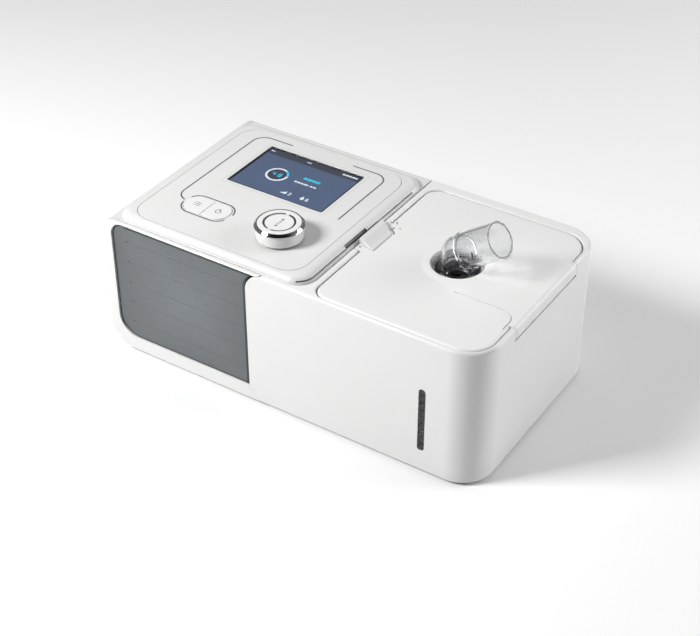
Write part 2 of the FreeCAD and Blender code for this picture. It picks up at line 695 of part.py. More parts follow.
def impeller():
    """Backward-leaning blades between a hub disc and the shaft boss."""
    low = VOLUTE_BOTTOM + 4.0
    disc = post(BLOWER_X, BLOWER_Y, low, low + 1.5, IMPELLER_R)
    boss = post(BLOWER_X, BLOWER_Y, low, low + 9, 5.0)
    blades = []
    for step in range(11):
        blade = block(8.0, IMPELLER_R - 0.5, -0.6, 0.6, low + 1.0, low + 11.0)
        blade.rotate(vec(8, 0, 0), vec(0, 0, 1), -28)
        blade.rotate(vec(0, 0, 0), vec(0, 0, 1), 360.0 * step / 11)
        blade.translate(vec(BLOWER_X, BLOWER_Y, 0))
        blades.append(blade)
    wheel = fuse_all([disc, boss] + blades)
    return wheel.cut(post(BLOWER_X, BLOWER_Y, 0, 90, SHAFT_R))


def motor_rotor():
    """Shaft with the ring magnet pressed on it."""
    shaft = post(BLOWER_X, BLOWER_Y, 7.0, VOLUTE_BOTTOM + 12.0, SHAFT_R)
    return Part.makeCompound([shaft, tube(BLOWER_X, BLOWER_Y, 11.0, 17.5, 6.0, SHAFT_R)])


def motor_bearings():
    """Two ball bearings, drawn as plain rings."""
    rings = [tube(BLOWER_X, BLOWER_Y, z, z + 2.3, 5.0, SHAFT_R + 0.05) for z in (8.0, 18.2)]
    return Part.makeCompound(rings)


def motor_stator():
    """Laminated ring with six wound teeth."""
    ring = tube(BLOWER_X, BLOWER_Y, 11.0, 17.5, 15.0, 12.6)
    teeth = []
    for step in range(6):
        tooth = block(7.0, 13.0, -2.0, 2.0, 11.0, 17.5)
        coil = block(8.0, 12.0, -3.0, 3.0, 10.6, 17.9)
        for piece in (tooth, coil):
            piece.rotate(vec(0, 0, 0), vec(0, 0, 1), 60.0 * step)
            piece.translate(vec(BLOWER_X, BLOWER_Y, 0))
            teeth.append(piece)
    return fuse_all([ring] + teeth)


def motor_can():
    """Motor case that holds the stator and both bearings."""
    can = post(BLOWER_X, BLOWER_Y, 6.5, VOLUTE_BOTTOM, 16.5)
    can = can.cut(post(BLOWER_X, BLOWER_Y, 10.3, 18.2, 15.0))
    can = can.cut(post(BLOWER_X, BLOWER_Y, 8.0, 20.5, 5.0))
    return can.cut(post(BLOWER_X, BLOWER_Y, 6.0, VOLUTE_BOTTOM + 1, 3.0))


def blower_mounts():
    """Rubber cushions that keep the blower off the case."""
    mounts = []
    for step in range(4):
        angle = math.radians(45 + 90 * step)
        x = BLOWER_X + 37 * math.cos(angle)
        y = BLOWER_Y + 37 * math.sin(angle)
        profile = [(1.5, 4.0), (5.0, 4.0), (3.2, 13.0), (5.0, VOLUTE_BOTTOM), (1.5, VOLUTE_BOTTOM)]
        mounts.append(revolve(profile, x, y))
    return Part.makeCompound(mounts)


def air_duct():
    """Tube from the scroll's outlet, up and across into the humidifier."""
    mid = (VOLUTE_BOTTOM + VOLUTE_SPLIT) / 2
    start = BLOWER_X + 34
    end = UNIT_RIGHT + FIT + SIDE_WALL
    runs = [(vec(start, DUCT_Y, mid), vec(1, 0, 0), DUCT_X - start),
            (vec(DUCT_X, DUCT_Y, mid), vec(0, 0, 1), DUCT_Z - mid),
            (vec(DUCT_X, DUCT_Y, DUCT_Z), vec(1, 0, 0), end - DUCT_X)]
    skin = [rod(p, d, length, DUCT_R) for p, d, length in runs]
    skin += [Part.makeSphere(DUCT_R, vec(DUCT_X, DUCT_Y, z)) for z in (mid, DUCT_Z)]
    hollow = [rod(p - d, d, length + 2, DUCT_BORE_R) for p, d, length in runs[:1] + runs[2:]]
    hollow += [rod(runs[1][0], runs[1][1], runs[1][2], DUCT_BORE_R)]
    hollow += [Part.makeSphere(DUCT_BORE_R, vec(DUCT_X, DUCT_Y, z)) for z in (mid, DUCT_Z)]
    return fuse_all(skin).cut(fuse_all(hollow))


def flow_sensor():
    """Sensor block on the side of the air duct."""
    return block(DUCT_X - DUCT_R - 6, DUCT_X - DUCT_R - 0.1, DUCT_Y - 5, DUCT_Y + 5, 48, 62)


def muffler_foam():
    """Foam block with an air channel, between the filter and the blower."""
    x0, x1, z0, z1 = DOOR
    foam = block(x0 + 2, x1 - 2, 39, BACK - WALL - 12, z0 - 2, z1 - 2)
    return foam.cut(block(x0 + 12, x1 - 12, 38, BACK, z0 + 10, z1 - 14))


def inlet_filter():
    """Pad that filters the air behind the door."""
    x0, x1, z0, z1 = DOOR
    return block(x0 + 7, x1 - 7, BACK - WALL - 9, BACK - WALL - 4, z0 + 7, z1 - 7)


def filter_frame():
    """Frame inside the back wall that holds the filter pad."""
    x0, x1, z0, z1 = DOOR
    frame = block(x0 + 4, x1 - 4, BACK - WALL - 11, BACK - WALL - 3.2, z0 + 4, z1 - 4)
    pocket = block(x0 + 6.8, x1 - 6.8, BACK - WALL - 9.2, BACK, z0 + 6.8, z1 - 6.8)
    bars = [block(x, x + 2, BACK - WALL - 11, BACK - WALL - 9.2, z0 + 5, z1 - 5)
            for x in (x0 + 18, x0 + 29, x0 + 40)]
    opening = block(x0 + 9, x1 - 9, BACK - WALL - 12, BACK, z0 + 9, z1 - 9)
    return fuse_all([frame.cut(pocket).cut(opening)] + bars)


# ---------------------------------------------------------------- back

def door_space():
    """Rebate and opening in the back wall for the air-filter door."""
    x0, x1, z0, z1 = DOOR
    rebate = prism("XZ", x0 - FIT, x1 + FIT, z0 - FIT, z1 + FIT, (0.8, 0.8, DOOR_R, DOOR_R),
                   BACK - DOOR_THICK - 0.2, BACK + 1)
    hole = prism("XZ", x0 + 4, x1 - 4, z0 + 4, z1 - 4, (3,) * 4, BACK - 20, BACK + 1)
    hinge = block(x0 + 6, x1 - 6, BACK - 4.2, BACK + 1, z0 - FIT, z0 + 5)
    return fuse_all([rebate, hole, hinge])


def door_ears():
    """Blocks at both lower corners of the door's opening that hold its pins."""
    x0, x1, z0, _ = DOOR
    ears = []
    for x in (x0 + 1, x1 - 6):
        ears.append(block(x, x + 5, BACK - 5, DOOR_PIN_Y, z0 - 1, DOOR_PIN_Z + 1.9))
        ears.append(block(x, x + 5, BACK - 5, BACK - 0.3, z0 - 1, DOOR_PIN_Z))
        ears.append(rod(vec(x, DOOR_PIN_Y, DOOR_PIN_Z), vec(1, 0, 0), 5, 1.9))
    return ears


def filter_door():
    """Slotted door over the air filter, hinged along its lower edge."""
    x0, x1, z0, z1 = DOOR
    corners = (0.5, 0.5, DOOR_R - FIT, DOOR_R - FIT)
    door = prism("XZ", x0, x1, z0, z1, corners, BACK - DOOR_THICK + 0.1, BACK - 0.1)
    for row in range(7):
        z = z0 + 15 + row * 4.6
        door = door.cut(prism("XZ", x0 + 8, x1 - 8, z, z + 2.2, (1.0,) * 4, BACK - 5, BACK + 1))
    door = door.cut(block(x0 - 1, x1 + 1, BACK - 6, BACK + 1, z0 - 1, DOOR_PIN_Z))
    knuckle = rod(vec(x0 + 7, DOOR_PIN_Y, DOOR_PIN_Z), vec(1, 0, 0), x1 - x0 - 14, 1.9)
    door = door.fuse(knuckle)
    door = door.cut(block(x0 - 1, x0 + 7, BACK - 6, BACK + 1, z0 - 1, z0 + 4.4))
    door = door.cut(block(x1 - 7, x1 + 1, BACK - 6, BACK + 1, z0 - 1, z0 + 4.4))
    door = door.cut(rod(vec(x0, DOOR_PIN_Y, DOOR_PIN_Z), vec(1, 0, 0), x1 - x0, DOOR_PIN_R + 0.05))
    middle = (x0 + x1) / 2
    finger = prism("XZ", middle - 9, middle + 9, z1 - 4, z1 + 4, (3,) * 4, BACK - 0.9, BACK + 1)
    return door.cut(finger).removeSplitter()


def door_pins():
    """Short pins at both ends of the filter door, held by the case."""
    x0, x1 = DOOR[:2]
    pins = [rod(vec(x, DOOR_PIN_Y, DOOR_PIN_Z), vec(1, 0, 0), 12.0, DOOR_PIN_R) for x in (x0 + 1, x1 - 13)]
    return Part.makeCompound(pins)


def socket_cut():
    """Opening in the back wall for the low-voltage inlet."""
    return prism("XZ", SOCKET_X - 6, SOCKET_X + 6, SOCKET_Z - 6, SOCKET_Z + 6, (2,) * 4, BACK - 6, BACK + 1)


def dc_socket():
    """Low-voltage inlet: an insulating block with a round well and a centre pin."""
    half = 5.8
    body = prism("XZ", SOCKET_X - half, SOCKET_X + half, SOCKET_Z - half, SOCKET_Z + half, (1.8,) * 4,
                 BACK - 14, BACK - 0.3)
    body = body.cut(rod(vec(SOCKET_X, BACK - 11, SOCKET_Z), vec(0, 1, 0), 12, 3.2))
    pin = rod(vec(SOCKET_X, BACK - 11, SOCKET_Z), vec(0, 1, 0), 9, 1.0)
    return Part.makeCompound([body, pin])


def card_slot_cut():
    """Slot in the back wall for the memory card."""
    x0, x1, z0, z1 = CARD_SLOT
    return prism("XZ", x0, x1, z0, z1, (0.8,) * 4, BACK - 6, BACK + 1)


def card_socket():
    """Memory-card reader behind its slot in the back wall."""
    x0, x1, z0, z1 = CARD_SLOT
    body = prism("XZ", x0 + 0.2, x1 - 0.2, z0 + 0.2, z1 - 0.2, (0.6,) * 4, BACK - 24, BACK - 0.4)
    return body.cut(block(x0 + 1.5, x1 - 1.5, BACK - 23, BACK + 1, z0 + 0.9, z1 - 0.9))


# ---------------------------------------------------------------- humidifier case

def humidifier_block():
    """Outside form of the humidifier with its front wing, cut clear of the control unit."""
    body = prism("XY", WING_LEFT, RIGHT, FRONT, BACK, (0, CORNER_R, CORNER_R, 0), FOOT, RIM_Z)
    outer = lambda p: p.x > WING_LEFT + 1
    body = body.makeFillet(RIM_R, edges_at_z(body, RIM_Z, outer))
    body = body.makeFillet(2.0, edges_at_z(body, FOOT, outer))
    body = body.common(wing_profile(0).extrude(vec(0, DEPTH + 2, 0)))
    for gap, low in ((FIT, 0), (SHADOW_GAP, RIM_Z - SHADOW_DEPTH)):
        body = body.cut(prism("XY", LEFT, UNIT_RIGHT + gap, UNIT_FRONT, BACK + 1,
                              (0, UNIT_CORNER_R + gap, 0, 0), low, DECK_Z))
    return body


def lid_outline(grow, z0, z1):
    """Outline of the lid, grown all round, without its tab."""
    corners = (LID_R + grow, LID_CORNER_R + grow, LID_CORNER_R + grow, LID_R + grow)
    return prism("XY", LID_LEFT - grow, LID_RIGHT + grow, LID_FRONT - grow, LID_BACK + grow,
                 corners, z0, z1)


def lid_tab(grow, z0, z1):
    """Tab of the lid towards the latch."""
    return block(UNIT_RIGHT + FIT + LID_GAP - grow, LID_LEFT + 5,
                 LATCH[0] - 3 - grow, LATCH[1] + 3 + grow, z0, z1)


def lid_seat():
    """Recess in the case that the lid lies in, with a chamfer round its top."""
    low = RIM_Z - LID_THICK - 0.2
    flare = lid_outline(LID_GAP + RIM_FLARE, RIM_Z - RIM_FLARE, RIM_Z + 1)
    flare = flare.makeChamfer(RIM_FLARE - 0.01, edges_at_z(flare, RIM_Z - RIM_FLARE, lambda p: True))
    return fuse_all([lid_outline(LID_GAP, low, RIM_Z + 1), lid_tab(LID_GAP, low, RIM_Z + 1), flare])


def hinge_cut():
    """Space that the lid's hinge skirt needs in the case's right wall."""
    return block(HINGE_X - 8.0, RIGHT + 1, HINGE[0] - FIT, HINGE[1] + FIT, WRAP_BOTTOM - SLIT, RIM_Z + 1)


def humidifier_case():
    """Humidifier housing: open at the top under the lid, with the tank's space inside."""
    shell = humidifier_block()
    floor_z = FOOT + WALL
    cavity = prism("XY", UNIT_RIGHT + FIT + SIDE_WALL, RIGHT - SIDE_WALL,
                   FRONT + SIDE_WALL, BACK - SIDE_WALL,
                   (6, CORNER_R - SIDE_WALL, CORNER_R - SIDE_WALL, 6), floor_z, RIM_Z - FLANGE)
    inner = (LID_LEFT + LEDGE, LID_RIGHT - LEDGE, LID_FRONT + LEDGE, LID_BACK - LEDGE)
    throat = prism("XY", inner[0], inner[1], inner[2], inner[3],
                   (LID_R - LEDGE, LID_CORNER_R - LEDGE, LID_CORNER_R - LEDGE, LID_R - LEDGE),
                   50, RIM_Z + 1)
    window = prism("XZ", WINDOW[0], WINDOW[1], WINDOW[2], WINDOW[3], (2.15,) * 4, FRONT - 1, FRONT + 10)
    duct_hole = rod(vec(UNIT_RIGHT - 4, DUCT_Y, DUCT_Z), vec(1, 0, 0), 12, DUCT_R + 0.2)
    latch_well = block(UNIT_RIGHT + 2.3, LID_LEFT + 6, LATCH[0] + 6, LATCH[1] - 6, 80, RIM_Z)
    for tool in (cavity, throat, lid_seat(), window, duct_hole, hinge_cut(), latch_well):
        shell = shell.cut(tool)
    hub = tube(HEATER_X, HEATER_Y, floor_z - 0.5, 13.0, HEATER_R + 3.5, HEATER_R + 1.5)
    ribs = [block(TANK[0] + 4, TANK[1] - 4, y - 1, y + 1, floor_z - 0.5, TANK_BOTTOM) for y in (-50, 50)]
    shell = fuse_all([shell, hub] + ribs)
    shell = shell.cut(Part.makeCompound(link_shanks()))
    for y in HINGE:
        shell = shell.cut(rod(vec(HINGE_X, y - PIN_REACH, HINGE_Z), vec(0, 1, 0), 2 * PIN_REACH, PIN_R))
    return shell


def level_window():
    """Clear strip in the front wall, over the tank's water-level marks."""
    x0, x1, z0, z1 = WINDOW
    inside = FRONT + SIDE_WALL
    strip = prism("XZ", x0, x1, z0, z1, (2.15,) * 4, FRONT + 0.5, inside)
    flange = prism("XZ", x0 - 2, x1 + 2, z0 - 2, z1 + 2, (4.0,) * 4, inside, inside + 1.2)
    return strip.fuse(flange).removeSplitter()


def hinge_pins():
    """Steel stub pins, fixed in the case, that the lid turns on."""
    pins = [rod(vec(HINGE_X, y - PIN_REACH, HINGE_Z), vec(0, 1, 0), 2 * PIN_REACH, PIN_R) for y in HINGE]
    return Part.makeCompound(pins)


def link_shanks():
    """Shanks of the four screws through the walls where the two cases stand side by side."""
    x = UNIT_RIGHT + FIT + SIDE_WALL
    length = SIDE_WALL + FIT + WALL + 2
    return [rod(vec(x, y, z), vec(-1, 0, 0), length, 1.4) for y in (-45, 50) for z in (30, 60)]


def link_screws():
    """Four screws that hold the humidifier to the control unit."""
    screws = []
    for shank in link_shanks():
        box = shank.BoundBox
        head = rod(vec(box.XMax, box.Center.y, box.Center.z), vec(1, 0, 0), 1.6, 2.8)
        screws.append(head.fuse(shank))
    return Part.makeCompound(screws)


# ---------------------------------------------------------------- lid, latch, outlet

def lid():
    """Hinged lid with its hinge wrap, the outlet's collar and the lip under it."""
    bottom = RIM_Z - LID_THICK
    plate = lid_outline(0, bottom, RIM_Z)
    plate = plate.makeFillet(LID_EDGE_R, edges_at_z(plate, RIM_Z, lambda p: True))
    plate = plate.fuse(lid_tab(0, bottom, RIM_Z))
    wrap_x = RIGHT - WRAP_THICK
    wrap = prism("XZ", wrap_x, RIGHT, WRAP_BOTTOM, RIM_Z, (0.6, 0.9, RIM_R, 0), HINGE[0], HINGE[1])
    bridge = block(LID_RIGHT - 12, wrap_x + 0.5, HINGE[0], HINGE[1], bottom, RIM_Z)
    inward = LEDGE + 0.6
    lip = prism("XY", LID_LEFT + inward, LID_RIGHT - 12, LID_FRONT + inward, LID_BACK - inward,
                (5.0,) * 4, bottom - LIP_DEPTH, bottom + 0.1)
    inward += LIP_THICK
    lip = lip.cut(prism("XY", LID_LEFT + inward, LID_RIGHT + 9, LID_FRONT + inward, LID_BACK - inward,
                        (3.4, 0, 0, 3.4), 0, bottom))
    collar = collar_ring(bottom)
    whole = fuse_all([plate, wrap, bridge, lip, collar, spring_seat()])
    whole = whole.cut(post(OUTLET_X, OUTLET_Y, 0, 200, HOLE_R))
    groove = step_groove()
    leg_slot = block(LID_LEFT - 2.6, LID_LEFT + 2.2 + LATCH_TRAVEL + FIT,
                     LATCH_LEG[0] - FIT, LATCH_LEG[1] + FIT, 0, 200)
    whole = whole.cut(groove).cut(leg_slot)
    for y in HINGE:
        whole = whole.cut(rod(vec(HINGE_X, y - PIN_REACH - 0.4, HINGE_Z), vec(0, 1, 0),
                              2 * PIN_REACH + 0.8, PIN_R + PIN_RUN))
    return whole


def collar_ring(bottom):
    """Softly raised ring round the outlet hole."""
    profile = [(HOLE_R - 1, bottom), (COLLAR_R, bottom), (COLLAR_R, RIM_Z), (COLLAR_R - 2.2, RIM_Z + 0.35),
               (COLLAR_R - 4.2, RIM_Z + COLLAR_PROUD), (HOLE_R - 1, RIM_Z + COLLAR_PROUD)]
    return revolve(profile, OUTLET_X, OUTLET_Y)


def step_groove():
    """Fine line that runs from the collar to the right and round to the front."""
    back = FRONT + 48.6
    right = LID_RIGHT - LID_EDGE_R
    ring = plan_ring(LID_LEFT + 5, right, FRONT - 20, back, 9.0, 0.8, RIM_Z - 0.5, RIM_Z + 0.01)
    return ring.common(block(OUTLET_X + 12, right + 1, FRONT + 32, back + 1, 0, 200))


def latch_tab():
    """Sliding latch: a wedge-shaped grip on a leg that runs in the lid's slot."""
    y0, y1 = LATCH
    x0 = UNIT_RIGHT + 0.5
    low = RIM_Z + 0.1
    wide = 11.4
    outline = [(0, low), (wide, low), (wide, low + 0.8), (8.8, low + 1.1), (3.4, LATCH_TOP), (0, LATCH_TOP)]
    side = [vec(x0 + x, y0, z) for x, z in outline]
    grip = Part.Face(Part.makePolygon(side + [side[0]])).extrude(vec(0, y1 - y0, 0))
    front, back = LATCH_SLANT
    for corners in ([(x0 - 1, y0), (x0 + wide, y0), (x0 - 1, y0 + front)],
                    [(x0, y1), (x0 + wide + 1, y1 - back), (x0 + wide + 1, y1)]):
        end = Part.makePolygon([vec(x, y, low - 1) for x, y in corners + corners[:1]])
        grip = grip.cut(Part.Face(end).extrude(vec(0, 0, 9)))
    soft = [e for e in grip.Edges if e.CenterOfMass.z > low + 0.3 and e.CenterOfMass.x > x0 + 0.1]
    grip = grip.makeFillet(0.5, soft)
    leg = block(LID_LEFT - 2.3, LID_LEFT + 1.9, LATCH_LEG[0], LATCH_LEG[1], RIM_Z - 7.5, low + 0.4)
    return fuse_all([grip, leg])


def latch_spring():
    """Small coil spring that returns the latch, drawn as a plain sleeve."""
    start = LID_LEFT + 1.9
    sleeve = rod(vec(start, 1.5, RIM_Z - 5.4), vec(1, 0, 0), 4.5, 1.6)
    return sleeve.cut(rod(vec(start - 1, 1.5, RIM_Z - 5.4), vec(1, 0, 0), 7, 1.1))


def spring_seat():
    """Lug under the lid that the latch's spring pushes against."""
    x = LID_LEFT + 6.7
    return block(x, x + 2.0, -3.0, 6.0, RIM_Z - 7.4, RIM_Z - LID_THICK)


def outlet_socket():
    """Glossy dark ring in the lid's hole that the elbow turns in."""
    top = RIM_Z - 0.6
    outside = [(STUB_R + 0.35, 86.6), (13.4, 86.6), (14.6, 90.5), (HOLE_R - 0.1, 92.0), (HOLE_R - 0.1, top)]
    inside = [(HOLE_R - 0.9, top), (HOLE_R - 1.4, 93.0), (STUB_R + 2.2, 91.2), (STUB_R + 0.35, 91.2)]
    profile = outside + inside
    return revolve(profile, OUTLET_X, OUTLET_Y)


def outlet_seal():
    """Silicone lip under the socket that closes on the tank's outlet."""
    profile = [(STUB_R + 0.4, 86.6), (13.2, 86.6), (12.6, 84.4), (11.8, 84.4)]
    return revolve(profile, OUTLET_X, OUTLET_Y)


def elbow():
    """Clear swivel elbow: stub, bend and the 22 mm tube."""
    bend = vec(OUTLET_X, OUTLET_Y, BEND_Z)
    tilt = math.radians(TUBE_TILT)
    along = vec(math.cos(tilt), 0, math.sin(tilt))
    outer = [post(OUTLET_X, OUTLET_Y, STUB_BOTTOM, BEND_Z, STUB_R), Part.makeSphere(STUB_R, bend),
             rod(bend, along, TUBE_START + 1, STUB_R),
             rod(bend + along * TUBE_START, along, CUFF_STOP - TUBE_START, CUFF_STOP_R),
             rod(bend + along * CUFF_STOP, along, TUBE_END - CUFF_STOP, TUBE_R),
             tube(OUTLET_X, OUTLET_Y, RIM_Z - 2.8, RIM_Z - 1.2, STUB_R + 1.6, STUB_R - 0.5)]
    inner = [post(OUTLET_X, OUTLET_Y, STUB_BOTTOM - 1, BEND_Z, STUB_BORE_R),
             Part.makeSphere(STUB_BORE_R, bend),
             rod(bend, along, TUBE_START + 1, STUB_BORE_R),
             rod(bend + along * (TUBE_START + 1), along, TUBE_END, TUBE_BORE_R)]
    return fuse_all(outer).cut(fuse_all(inner))


# ---------------------------------------------------------------- tank and heater

def tank_plan(grow, z0, z1):
    """Upright plate with the tank's outline, grown or shrunk."""
    x0, x1, y0, y1 = TANK
    return plan(x0 - grow, x1 + grow, y0 - grow, y1 + grow, TANK_R + grow, z0, z1)


def water_tank():
    """Clear tank with a rim, open over the hot plate."""
    inside = tank_plan(-TANK_WALL, TANK_BOTTOM + TANK_WALL, TANK_TOP + 1)
    tank = tank_plan(0, TANK_BOTTOM, TANK_TOP).cut(inside)
    rim = tank_plan(2.0, TANK_TOP - 2.0, TANK_TOP).cut(tank_plan(-TANK_WALL, 0, TANK_TOP + 1))
    tank = tank.fuse(rim).removeSplitter()
    return tank.cut(post(HEATER_X, HEATER_Y, 0, TANK_BOTTOM + 5, HEATER_R - 2))


def tank_plate():
    """Metal disc in the tank's floor that takes the heat."""
    return revolve([(0, 14.3), (HEATER_R, 14.3), (HEATER_R, TANK_BOTTOM), (HEATER_R - 2, TANK_BOTTOM),
                    (HEATER_R - 2, TANK_BOTTOM + 1.0), (0, TANK_BOTTOM + 1.0)], HEATER_X, HEATER_Y)


def tank_seal():
    """Silicone ring between the tank and its cover."""
    return tank_plan(1.2, TANK_TOP, TANK_TOP + 1.5).cut(tank_plan(-1.6, 0, 90))


def tank_cover():
    """Clear cover with an air inlet on the left and the outlet on top."""
    low = TANK_TOP + 1.5
    cover = tank_plan(2.0, low, low + 3.0)
    dome = tank_plan(-2.0, low, TANK_COVER_TOP)
    cover = cover.fuse(dome).removeSplitter()
    cover = cover.fuse(post(OUTLET_X, OUTLET_Y, TANK_COVER_TOP - 2, 84.0, 13.0))
    cover = cover.fuse(rod(vec(TANK[0] - 1.0, DUCT_Y, DUCT_Z), vec(1, 0, 0), 8, DUCT_R - 1.0))
    cover = cover.cut(tank_plan(-2.0 - TANK_WALL, low - 1, TANK_COVER_TOP - TANK_WALL))
    cover = cover.cut(post(OUTLET_X, OUTLET_Y, low, 90, 11.0))
    return cover.cut(rod(vec(TANK[0] - 3, DUCT_Y, DUCT_Z), vec(1, 0, 0), 14, DUCT_R - 2.6))


def duct_seal():
    """Soft ring between the air duct and the tank's inlet."""
    x = UNIT_RIGHT + FIT + SIDE_WALL
    ring = rod(vec(x, DUCT_Y, DUCT_Z), vec(1, 0, 0), TANK[0] - 1.0 - x, DUCT_R)
    return ring.cut(rod(vec(x - 1, DUCT_Y, DUCT_Z), vec(1, 0, 0), 14, DUCT_R - 2.6))


def heater_plate():
    """Hot plate with the heating film bonded under it."""
    plate = post(HEATER_X, HEATER_Y, 12.4, 14.0, HEATER_R)
    return Part.makeCompound([plate, post(HEATER_X, HEATER_Y, 12.0, 12.4, HEATER_R - 3)])


def heater_carrier():
    """Plastic dish that carries the hot plate on its springs."""
    dish_rim = tube(HEATER_X, HEATER_Y, 9.0, 12.4, HEATER_R, HEATER_R - 2)
    return dish_rim.fuse(post(HEATER_X, HEATER_Y, 8.0, 9.6, HEATER_R)).removeSplitter()


def heater_springs():
    """Three springs that press the hot plate up against the tank."""
    springs = []
    for step in range(3):
        angle = math.radians(90 + 120 * step)
        x = HEATER_X + 24 * math.cos(angle)
        y = HEATER_Y + 24 * math.sin(angle)
        springs.append(tube(x, y, FOOT + WALL, 8.0, 4.0, 3.0))
    return Part.makeCompound(springs)


def feet():
    """Six rubber pads."""
    places = [(x, y) for x in (LEFT + 32, UNIT_RIGHT - 14) for y in (-54, 54)]
    places += [(RIGHT - 30, y) for y in (-44, 44)]
    pads = [revolve([(0, 0), (6.6, 0), (7.2, 0.5), (7.2, FOOT), (0, FOOT)], x, y) for x, y in places]
    return Part.makeCompound(pads)


PIECES = [
    upper_case, lower_case, case_screws, deck_band, front_bezel, front_panel, fascia, fascia_trim,
    screen_lens, screen_gasket, display_module, left_key, right_key, knob_body, knob_ring, knob_cap,
    knob_inner_ring, encoder_shaft, encoder_rotor, encoder_body, control_board, main_board,
    power_board, speaker, blower_base, blower_cover, impeller, motor_rotor, motor_bearings,
    motor_stator, motor_can, blower_mounts, air_duct, flow_sensor, muffler_foam, inlet_filter,
    filter_frame, filter_door, door_pins, dc_socket, card_socket, humidifier_case, level_window,
    hinge_pins, link_screws, lid, latch_tab, latch_spring, outlet_socket, outlet_seal, elbow,
    water_tank, tank_plate, tank_seal, tank_cover, duct_seal, heater_plate, heater_carrier,
    heater_springs, feet,
]

os.makedirs("parts", exist_ok=True)
for piece in PIECES:
    shape = piece()
    shape.exportStep("parts/%s.step" % piece.__name__)
    print(piece.__name__, len(shape.Solids), shape.isValid(), round(shape.Volume / 1000, 2), "cm3")
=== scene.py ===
import json
import math

import bmesh
import bpy
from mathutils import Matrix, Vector


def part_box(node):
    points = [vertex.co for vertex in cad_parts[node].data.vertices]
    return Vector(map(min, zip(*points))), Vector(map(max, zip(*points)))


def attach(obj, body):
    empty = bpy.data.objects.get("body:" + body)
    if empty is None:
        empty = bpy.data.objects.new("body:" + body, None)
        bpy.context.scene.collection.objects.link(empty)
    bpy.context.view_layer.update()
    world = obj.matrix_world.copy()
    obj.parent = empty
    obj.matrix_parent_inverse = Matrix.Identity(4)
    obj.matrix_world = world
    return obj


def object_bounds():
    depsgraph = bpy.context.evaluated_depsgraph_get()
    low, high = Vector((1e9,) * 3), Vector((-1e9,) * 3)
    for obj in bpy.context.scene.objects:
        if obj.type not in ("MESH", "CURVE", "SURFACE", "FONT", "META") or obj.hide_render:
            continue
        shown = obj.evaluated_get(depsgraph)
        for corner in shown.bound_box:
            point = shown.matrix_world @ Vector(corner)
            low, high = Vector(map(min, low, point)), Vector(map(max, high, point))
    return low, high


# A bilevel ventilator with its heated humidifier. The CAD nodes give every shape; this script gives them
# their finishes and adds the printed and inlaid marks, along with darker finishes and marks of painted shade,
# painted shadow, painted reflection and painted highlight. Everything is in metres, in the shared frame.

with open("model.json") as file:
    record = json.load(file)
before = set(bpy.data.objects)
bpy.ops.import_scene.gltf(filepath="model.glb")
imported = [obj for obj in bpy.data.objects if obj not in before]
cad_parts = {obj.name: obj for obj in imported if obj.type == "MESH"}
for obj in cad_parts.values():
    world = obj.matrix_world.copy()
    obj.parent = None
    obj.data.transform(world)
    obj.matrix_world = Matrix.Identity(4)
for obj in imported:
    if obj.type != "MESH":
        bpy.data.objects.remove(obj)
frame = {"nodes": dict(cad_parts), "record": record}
CAD_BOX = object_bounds()
NODES = frame["nodes"]
MM = 0.001

# ---- camera and light ----
CAMERA_AT = (0.42036, -0.64588, 0.59562)
CAMERA_LOOK = (-0.4376, 0.6747, -0.5944)
LENS = 79.24
SENSOR = 36.0
LAMPS = {                            # where each stands, its size and its power in watts
    "key_left": ((-0.50, -0.60, 0.70), (0.30, 0.30), 12.2),
    "fill_right": ((0.95, 0.75, 0.50), (0.8, 0.6), 11.0),
    "top": ((-0.1, 0.5, 1.6), (1.6, 1.2), 4.6),
}
STUDIO_STRENGTH = 0.25
DARK_SIDE = (0.45, -0.70, 0.55)      # the unlit side of the studio, as a direction
DARK_START = 0.45                    # how near to that side the light starts to fall off
DARK_FULL = 0.88                     # and where it is at its darkest
DARK_LEVEL = 0.06
FLOOR_REACH = 6.0

# ---- colours, linear ----
WHITE = (0.70, 0.70, 0.695)
FASCIA_WHITE = (0.635, 0.635, 0.63)
PANEL_GREY = (0.105, 0.118, 0.127)
TRIM_GREY = (0.105, 0.130, 0.125)
SCREEN_BLUE = (0.060, 0.098, 0.190)
STATUS_BLUE = (0.018, 0.026, 0.050)
SCREEN_WHITE = (0.80, 0.86, 0.92)
CYAN = (0.02, 0.55, 0.80)
INK = (0.16, 0.17, 0.17)
# painted shade: near black for the strips along the front panel's shaded edges
PANEL_EDGE_SHADE = (0.030, 0.034, 0.036)
# painted reflection: the dark ring on the clear tube's end
LIP_DARK_REFLECTION = (0.055, 0.058, 0.060)
WINDOW_INK = (0.012, 0.013, 0.014)
FRAME_INK = (0.36, 0.36, 0.34)
KNOB_INK = (0.22, 0.23, 0.22)
FLOOR_WHITE = (0.86, 0.86, 0.86)

MARK = 0.03 * MM                     # how far printed marks stand proud
WELD_GAP = 0.0005 * MM               # corners nearer than this are one corner
SHARP = math.radians(28)             # edges that turn by more than this stay sharp
PANEL_ROWS = (0.86, 0.68, 0.50, 0.325, 0.145)    # heights of the dimpled rows, as shares of the panel's
RING_GLINTS = (94, 264)              # where painted highlights cross the knob's grey ring, in degrees


# ---------------------------------------------------------------- materials

def new_material(name, colour, roughness, **sockets):
    """A Principled material; sockets are set by name with underscores for spaces."""
    material = bpy.data.materials.new(name)
    material.use_nodes = True
    shader = material.node_tree.nodes["Principled BSDF"]
    shader.inputs["Base Color"].default_value = (*colour, 1.0)
    shader.inputs["Roughness"].default_value = roughness
    for socket, value in sockets.items():
        shader.inputs[socket.replace("_", " ")].default_value = value
    return material


def add_node(material, kind, **settings):
    """A node of that kind, with its settings set by name."""
    node = material.node_tree.nodes.new(kind)
    for key, value in settings.items():
        setattr(node, key, value)
    return node


def link(material, output, target):
    material.node_tree.links.new(output, target)


def principled(material):
    return material.node_tree.nodes["Principled BSDF"]


def feed(material, output, socket):
    """Lets a node's output drive one socket of the material's shader."""
    link(material, output, principled(material).inputs[socket])


